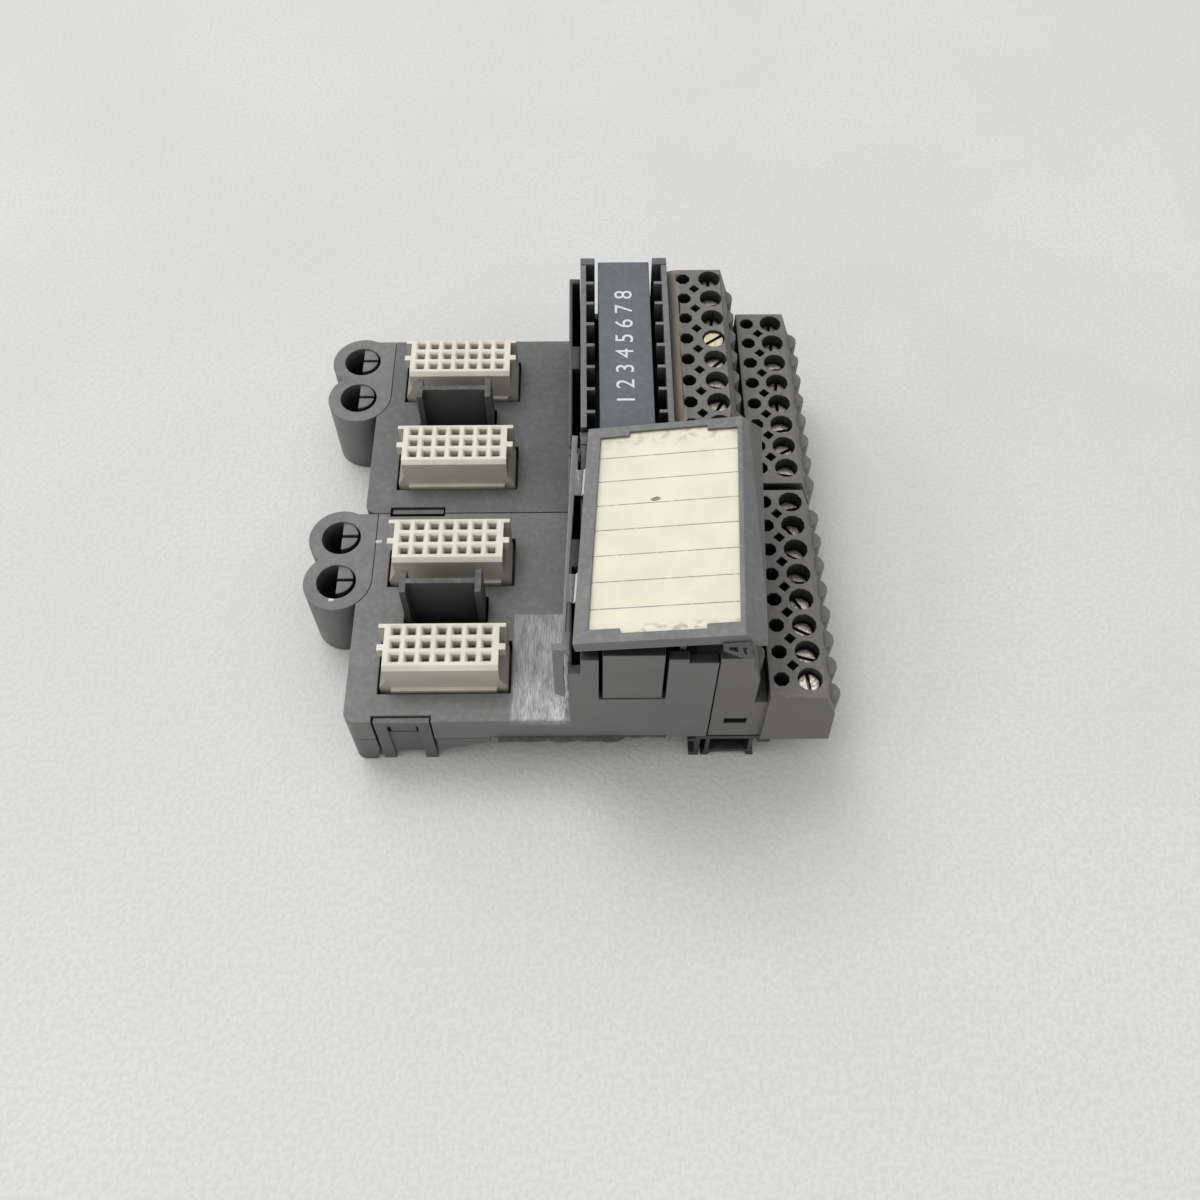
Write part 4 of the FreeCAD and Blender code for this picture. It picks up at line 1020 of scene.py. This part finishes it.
@dataclass
class BaseSlice:
    """The mouldings, sockets and board of one slice."""

    place: Slice
    edge: float = 0.16
    fine_edge: float = 0.1
    funnel: float = 0.4
    cavity_field: Span = (8.5, 3.3)
    back: float = 3.9
    drop_at: Spot = (-33.4, -5.84, 14.5)
    drop_radius: float = 0.55
    drop_scale: Spot = (1.3, 0.85, 0.45)
    lip: TornWeb = TornWeb(17, (0.0, 0.45, 1.0), 0.4, 7)
    lip_x: Span = (-11.0, 17.5)
    lip_y: float = -41.4
    lip_z: float = 8.45
    lip_wide: float = 1.7
    lip_narrow: float = 0.95
    lip_step: float = 0.72
    lip_even: float = 0.84
    lip_jag: float = 0.16
    lip_sag: float = 0.35

    def build(self, shop: Workshop) -> None:
        """Soften and paint the slice's pieces.

        Args:
            shop: The workshop that makes the pieces.
        """
        end = self.place.value
        near = self.place is Slice.NEAR
        shell, tower = (GREY_SCUFFED, GREY_CHIPPED) if near else (GREY_FAR_SHADED, GREY)
        shop.soften(f"housing_{end}", self.edge, shell, Slot.GREY)
        shop.soften(f"wire_duct_{end}", self.fine_edge, DUCT_GREY, Slot.GREY)
        shop.soften(f"base_pan_{end}", self.edge, PAN_GREY, Slot.GREY)
        shop.soften(f"bolt_tower_{end}", self.edge, tower, Slot.GREY)
        shop.soften(f"latch_post_{end}", self.fine_edge, DARK, Slot.DARK)
        shop.soften(f"side_latch_{end}", self.fine_edge, LATCH_GREY, Slot.GREY)
        shop.paint(f"circuit_board_{end}", LACQUER)
        for row in Row:
            self.make_socket(shop, f"{row.value}_receptacle_{end}")
            shop.paint(f"{row.value}_contacts_{end}", TIN)
        if near:
            self.make_drop(shop)
            self.make_lip(shop)

    def make_lip(self, shop: Workshop) -> None:
        """Make the ragged lip that the broken skirt left, wide on the left and narrow on the right.

        Args:
            shop: The workshop that makes the pieces.
        """

        def place(along: float, across: float, ragged: float) -> Vector:
            """The lip's point at its shares along and across.

            Args:
                along: The share along it.
                across: The share across it.
                ragged: The raggedness, -1 to 1.

            Returns:
                The point, in metres.
            """
            left, right = self.lip_x
            reach = self.lip_wide if along < self.lip_step else self.lip_narrow
            reach *= self.lip_even + self.lip_jag * ragged
            return Vector((left + along * (right - left), self.lip_y - reach * across,
                           self.lip_z - self.lip_sag * across)) * MM

        shop.piece("torn_lip", self.lip.shape(place), LIP_GREY_SHADED, Slot.GREY, Body.BASE)

    def make_drop(self, shop: Workshop) -> None:
        """Make the small drop of dried glue beside the rear socket.

        Args:
            shop: The workshop that makes the pieces.
        """
        bm = bmesh.new()
        bmesh.ops.create_icosphere(bm, subdivisions=3, radius=self.drop_radius * MM)
        bmesh.ops.scale(bm, vec=self.drop_scale, verts=bm.verts)
        bmesh.ops.translate(bm, vec=Vector(self.drop_at) * MM, verts=bm.verts)
        for face in bm.faces:
            face.smooth = True
        shop.piece("glue_drop", bm, GLUE, Slot.IVORY, Body.BASE)

    def make_socket(self, shop: Workshop, node: str) -> None:
        """Open the mouths of a socket's cavities into funnels, then soften it.

        Args:
            shop: The workshop that makes the pieces.
            node: The socket's CAD node.
        """
        low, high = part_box(node)
        middle = Vector(((low.x + high.x) / 2, high.y - self.back * MM, high.z))
        wide, deep = self.cavity_field
        bm = shop.merged(node)

        def on_mouth(vert: bmesh.types.BMVert) -> bool:
            """Whether a corner lies on the top, in the field of cavities."""
            x, y, z = (abs(value) for value in vert.co - middle)
            return x < wide * MM and y < deep * MM and z < LEVEL_WITHIN

        mouths = [e for e in bm.edges if all(on_mouth(v) for v in e.verts)]
        shop.bevel(bm, mouths, self.funnel, 1)
        shop.soften(node, self.fine_edge, IVORY, Slot.IVORY, shape=bm)


@dataclass
class TerminalRows:
    """The two-tier terminal block of one slice with its metal."""

    place: Slice
    edge: float = 0.14
    screw_edge: float = 0.08
    entry_corner: Span = (-50.0, -40.0)
    entry_widen: float = 0.17
    upright: float = 0.99
    level: float = 0.1
    bright_way: int = 4
    way_pitch: float = 5.0
    near_lower_turns: tuple[float, ...] = (10, 149, 139, 65, 164, 130, 85, 0)

    def build(self, shop: Workshop) -> None:
        """Soften the block and its screws, and paint its other metal.

        Args:
            shop: The workshop that makes the pieces.
        """
        end = self.place.value
        block = self.open_entries(shop)
        shop.soften(f"terminal_block_{end}", self.edge, BLOCK, Slot.BLOCK, shape=block)
        for tier in Tier:
            shop.paint(f"{tier.value}_clamps_{end}", ZINC)
            self.set_screws(shop, tier)
        shop.paint(f"links_{end}", COPPER)

    def on_entry(self, edge: bmesh.types.BMEdge) -> bool:
        """Whether an edge is an upright inner corner of an eight-sided hole.

        Args:
            edge: The edge.

        Returns:
            True where it is one.
        """
        if not edge.is_manifold:
            return False
        rise = abs(edge.verts[0].co.z - edge.verts[1].co.z)
        least, most = self.entry_corner
        angle = math.degrees(edge.calc_face_angle_signed())
        return rise > self.upright * edge.calc_length() and least < angle < most

    def open_entries(self, shop: Workshop) -> Shape:
        """Open the eight-sided wire entries to the width that is seen.

        Args:
            shop: The workshop that holds the block.

        Returns:
            The worked copy of the block.
        """
        bm = shop.merged(f"terminal_block_{self.place.value}")
        corners = [e for e in bm.edges if self.on_entry(e)]
        # Each move turns the walls beside it, so the order is fixed to give one result
        for vert in dict.fromkeys(v for e in corners for v in e.verts):
            walls = [f.normal for f in vert.link_faces if abs(f.normal.z) < self.level]
            inwards = sum(walls, Vector()).normalized()
            bmesh.ops.translate(bm, vec=-inwards * self.entry_widen * MM, verts=[vert])
        LOG.info("widened %d corners of wire entries", len(corners))
        return bm

    def set_screws(self, shop: Workshop, tier: Tier) -> None:
        """Soften a row of screws. The near lower ones are first turned to the slots seen there.

        Args:
            shop: The workshop that makes the row.
            tier: The row's tier.
        """
        node = f"{tier.value}_screws_{self.place.value}"
        bm = shop.merged(node)
        if self.place is Slice.NEAR and tier is Tier.LOWER:
            low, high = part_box(node)
            middle = (low + high) / 2
            half_row = (len(self.near_lower_turns) - 1) / 2
            for way, degrees in enumerate(self.near_lower_turns):
                axis = Vector((middle.x, middle.y + (way - half_row) * self.way_pitch * MM, 0.0))
                own = [v for v in bm.verts if abs(v.co.y - axis.y) < self.way_pitch / 2 * MM]
                turn = Matrix.Rotation(math.radians(degrees), 3, "Z")
                bmesh.ops.rotate(bm, cent=axis, matrix=turn, verts=own)
        shop.soften(node, self.screw_edge, self.steel(tier), Slot.SCREW, shape=bm)

    def steel(self, tier: Tier) -> PlatedMetal:
        """The screws' finish. One screw of the far upper row is brassy and stands high.

        Args:
            tier: The row's tier.

        Returns:
            The finish of that row.
        """
        if self.place is Slice.NEAR or tier is Tier.LOWER:
            return STEEL
        low, high = (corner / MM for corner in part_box("upper_screws_far"))
        radius = (high.x - low.x) / 2
        at = ((low.x + high.x) / 2, low.y + radius + self.bright_way * self.way_pitch, high.z)
        return replace(STEEL, name="screw_steel_far", bright_at=at)


@dataclass
class WireDuct:
    """The marker bar over one slice's duct, with plain way numbers, and the rail foot below."""

    place: Slice
    numerals: str = "1 2 3 4 5 6 7 8"
    height: float = 4.6
    print_thick: float = 0.03
    edge: float = 0.14

    def build(self, shop: Workshop) -> None:
        """Soften the bar and the foot, and print the numbers.

        Args:
            shop: The workshop that makes the pieces.
        """
        end = self.place.value
        near = self.place is Slice.NEAR
        bar, foot = (BAR, Body.LATCH_NEAR) if near else (SLATE_BAR, Body.LATCH_FAR)
        shop.soften(f"marker_bar_{end}", self.edge, bar, Slot.BAR)
        self.print_numbers(shop)
        shop.soften(f"rail_latch_{end}", self.edge, FOOT_DARK, Slot.DARK, foot)

    def print_numbers(self, shop: Workshop) -> None:
        """Lay flat numerals on the bar, read along the duct with their heads to the left.

        Args:
            shop: The workshop that makes the pieces.
        """
        text = bpy.data.curves.new("numerals", "FONT")
        text.body = self.numerals
        text.size = self.height * MM
        text.align_x, text.align_y = "CENTER", "CENTER"
        text.extrude = self.print_thick * MM / 2
        holder = bpy.data.objects.new("numerals", text)
        bpy.context.scene.collection.objects.link(holder)
        evaluated = holder.evaluated_get(bpy.context.evaluated_depsgraph_get())
        mesh = bpy.data.meshes.new_from_object(evaluated)
        bpy.data.objects.remove(holder)
        low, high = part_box(f"marker_bar_{self.place.value}")
        middle = (low + high) / 2
        middle.z = high.z + self.print_thick * MM / 2
        laid = Matrix.Translation(middle) @ Matrix.Rotation(math.pi / 2, 4, "Z")
        bm = bmesh.new()
        bm.from_mesh(mesh)
        bmesh.ops.transform(bm, matrix=laid, verts=bm.verts)
        name = f"bar_numerals_{self.place.value}"
        shop.piece(name, bm, NUMERAL_INK, Slot.CARD, Body.BASE)


@dataclass
class LabelCover:
    """The hinged cover of the near slice with its rail, ruled card, film hinge and torn gusset."""

    yaw: float = -3.48
    pitch: float = -2.6
    tilt: float = 10.6
    edge: float = 0.14
    tabs: Span = (-9.585, 11.415)
    tab_long: float = 5.33
    film_thick: float = 0.22
    film_reach: float = 0.26
    film_drop: float = 0.32
    film_lift: float = 0.28
    gusset: TornWeb = TornWeb(6, (0.0, 0.26, 0.72, 1.0), 0.5, 4, ((1, 1), (2, 1), (4, 1)))
    gusset_x: Span = (22.6, 26.7)
    gusset_y: float = -20.7
    gusset_top: float = -0.05
    gusset_depth: float = 4.6
    gusset_start: float = 0.45
    gusset_growth: float = 0.75
    gusset_jag: float = 0.22
    hinge: Vector = field(init=False)

    def __post_init__(self) -> None:
        """Take the hinge line's middle, in metres, from the frame's joint."""
        joint = next(j for j in frame["joints"] if j["name"] == "cover_hinge")
        self.hinge = Vector(joint["pos_m"])

    def turn(self, tilted: bool) -> Matrix:
        """The turn of the hinge rail, or with the tilt that of the cover.

        Args:
            tilted: Whether the cover's tilt is added.

        Returns:
            The turn.
        """
        tilt = self.tilt if tilted else 0.0
        turns = ((self.yaw, "Z"), (self.pitch, "X"), (-tilt, "Y"))
        yaw, pitch, roll = (Matrix.Rotation(math.radians(angle), 4, axis) for angle, axis in turns)
        return yaw @ pitch @ roll

    def build(self, shop: Workshop) -> None:
        """Soften the rail and cover, rule the card, and make the film and the gusset.

        Args:
            shop: The workshop that makes the pieces.
        """
        shop.soften("cover_hinge_rail", self.edge, RAIL_GREY, Slot.DARK)
        shop.soften("marker_cover", self.edge, COVER_GREY, Slot.GREY, Body.COVER)
        self.rule_card(shop)
        for number, middle in enumerate(self.tabs, 1):
            self.make_film(shop, number, middle)
        self.make_gusset(shop)

    def make_gusset(self, shop: Workshop) -> None:
        """Make the torn web under the cover's near right corner, with holes in its middle band.

        Args:
            shop: The workshop that makes the pieces.
        """

        def place(along: float, across: float, ragged: float) -> Vector:
            """The gusset's point at its shares along and across.

            Args:
                along: The share along it.
                across: The share across it.
                ragged: The raggedness, -1 to 1.

            Returns:
                The point, in metres.
            """
            low = -self.gusset_depth * min(1.0, self.gusset_start + self.gusset_growth * along)
            jag = ragged * self.gusset_jag if 0 < across < 1 else 0.0
            left, right = self.gusset_x
            spot = Vector((left + along * (right - left) + jag / 2, self.gusset_y,
                           self.gusset_top + across * (low - self.gusset_top) + jag))
            return self.hinge + self.turn(True) @ (spot * MM)

        shop.piece("torn_gusset", self.gusset.shape(place), TORN, Slot.GREY, Body.COVER)

    def rule_card(self, shop: Workshop) -> None:
        """Paint the card in its own turned frame.

        Args:
            shop: The workshop that makes the pieces.
        """
        turn = self.turn(True)
        inverse = turn.inverted()
        points = [inverse @ v.co for v in frame["nodes"]["legend_card"].data.vertices]
        low = Vector([min(p[k] for p in points) for k in range(3)])
        high = Vector([max(p[k] for p in points) for k in range(3)])
        half_long = (high.y - low.y) / 2 / MM
        middle = turn @ ((low + high) / 2)
        shop.paint("legend_card", RuledCard("ruled_card", middle, turn.to_euler(), half_long))

    def make_film(self, shop: Workshop, number: int, middle: float) -> None:
        """Make one thin web of the film hinge, which spans between the rail and the cover.

        Args:
            shop: The workshop that makes the web.
            number: The web's number.
            middle: Its middle along the hinge.
        """
        on_rail = (False, -self.film_reach, -self.film_drop)
        on_cover = (True, self.film_reach, self.film_lift)
        corners = []
        for tilted, x, z in (on_rail, on_cover):
            for y in (middle - self.tab_long / 2, middle + self.tab_long / 2):
                corners.append(self.hinge + self.turn(tilted) @ (Vector((x, y, z)) * MM))
        bm = bmesh.new()
        near_rail, far_rail, near_cover, far_cover = (bm.verts.new(c) for c in corners)
        face = bm.faces.new((near_rail, near_cover, far_cover, far_rail))
        bmesh.ops.subdivide_edges(bm, edges=face.edges, cuts=4, use_grid_fill=True)
        bmesh.ops.solidify(bm, geom=bm.faces[:], thickness=self.film_thick * MM)
        bmesh.ops.recalc_face_normals(bm, faces=bm.faces)
        obj = shop.piece(f"hinge_film_{number}", bm, WHITENED, Slot.DARK, None)
        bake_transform(obj)


@dataclass(frozen=True)
class SquareLamp:
    """A square lamp that looks at the origin. Its place and size are in metres, its power in watts."""

    name: str
    at: Spot
    size: float
    power: float

    def hang(self) -> None:
        """Hang the lamp."""
        data = bpy.data.lights.new(self.name, "AREA")
        data.shape = "SQUARE"
        data.size = self.size
        data.energy = self.power
        lamp = bpy.data.objects.new(self.name, data)
        lamp.location = self.at
        lamp.rotation_euler = (-Vector(self.at)).to_track_quat("-Z", "Y").to_euler()
        bpy.context.scene.collection.objects.link(lamp)


@dataclass
class Studio:
    """A pale floor, soft light from above and behind, and the photograph's camera."""

    camera_at: Spot = (5.18, -128.16, 195.18)
    elevation: float = 58.75
    azimuth: float = 0.686
    roll: float = 0.146
    field_of_view: float = 53.1
    clip: Span = (10.0, 20000.0)
    floor_half: float = 2000.0
    zenith: Rgb = (0.98, 0.98, 0.98)
    horizon: Rgb = (0.4, 0.4, 0.4)
    brightest: Spot = (-0.46, 0.12, 0.88)
    lamps: tuple[SquareLamp, ...] = (
        SquareLamp("key_lamp", (-0.5, 0.7, 1.5), 0.9, 9.0),
        SquareLamp("side_lamp", (-0.7, -0.2, 0.5), 0.5, 0.4),
    )

    def build(self) -> None:
        """Set the stage."""
        self.lay_floor()
        for lamp in self.lamps:
            lamp.hang()
        self.light_sky()
        self.place_camera()
        bpy.context.scene.view_settings.view_transform = "Standard"

    def lay_floor(self) -> None:
        """Lay a pale foam sheet under the object."""
        bm = bmesh.new()
        bmesh.ops.create_grid(bm, x_segments=1, y_segments=1, size=self.floor_half * MM)
        mesh = bpy.data.meshes.new("floor")
        bm.to_mesh(mesh)
        bm.free()
        mesh.materials.append(FOAM.material())
        floor = bpy.data.objects.new("floor", mesh)
        bpy.context.scene.collection.objects.link(floor)

    def light_sky(self) -> None:
        """Fill in with a sky that is brightest overhead and on the left."""
        world = bpy.data.worlds.new("sky")
        world.use_nodes = True
        tree = world.node_tree
        height = tree.nodes.new("ShaderNodeVectorMath")
        height.operation = "DOT_PRODUCT"
        height.inputs[1].default_value = self.brightest
        tree.links.new(tree.nodes.new("ShaderNodeTexCoord").outputs["Generated"], height.inputs[0])
        fade = tree.nodes.new("ShaderNodeMix")
        fade.data_type = "RGBA"
        fade.inputs[6].default_value = (*self.horizon, 1.0)
        fade.inputs[7].default_value = (*self.zenith, 1.0)
        tree.links.new(height.outputs["Value"], fade.inputs[0])
        tree.links.new(fade.outputs[2], tree.nodes["Background"].inputs["Color"])
        bpy.context.scene.world = world

    def place_camera(self) -> None:
        """Stand the camera where the photograph was taken."""
        data = bpy.data.cameras.new("camera")
        data.sensor_fit = "AUTO"
        data.angle = math.radians(self.field_of_view)
        data.clip_start, data.clip_end = (distance * MM for distance in self.clip)
        camera = bpy.data.objects.new("camera", data)
        turn = Matrix.Rotation(math.radians(-self.azimuth), 4, "Z")
        turn @= Matrix.Rotation(math.radians(90.0 - self.elevation), 4, "X")
        turn @= Matrix.Rotation(math.radians(self.roll), 4, "Z")
        camera.matrix_world = Matrix.Translation(Vector(self.camera_at) * MM) @ turn
        bpy.context.scene.collection.objects.link(camera)
        bpy.context.scene.camera = camera


def main() -> None:
    """Dress the base piece by piece and set the stage."""
    logging.basicConfig(level=logging.INFO, format="%(name)s: %(message)s")
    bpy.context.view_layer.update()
    shop = Workshop()
    for place in Slice:
        BaseSlice(place).build(shop)
        TerminalRows(place).build(shop)
        WireDuct(place).build(shop)
    LabelCover().build(shop)
    Studio().build()


if __name__ == "__main__":
    main()
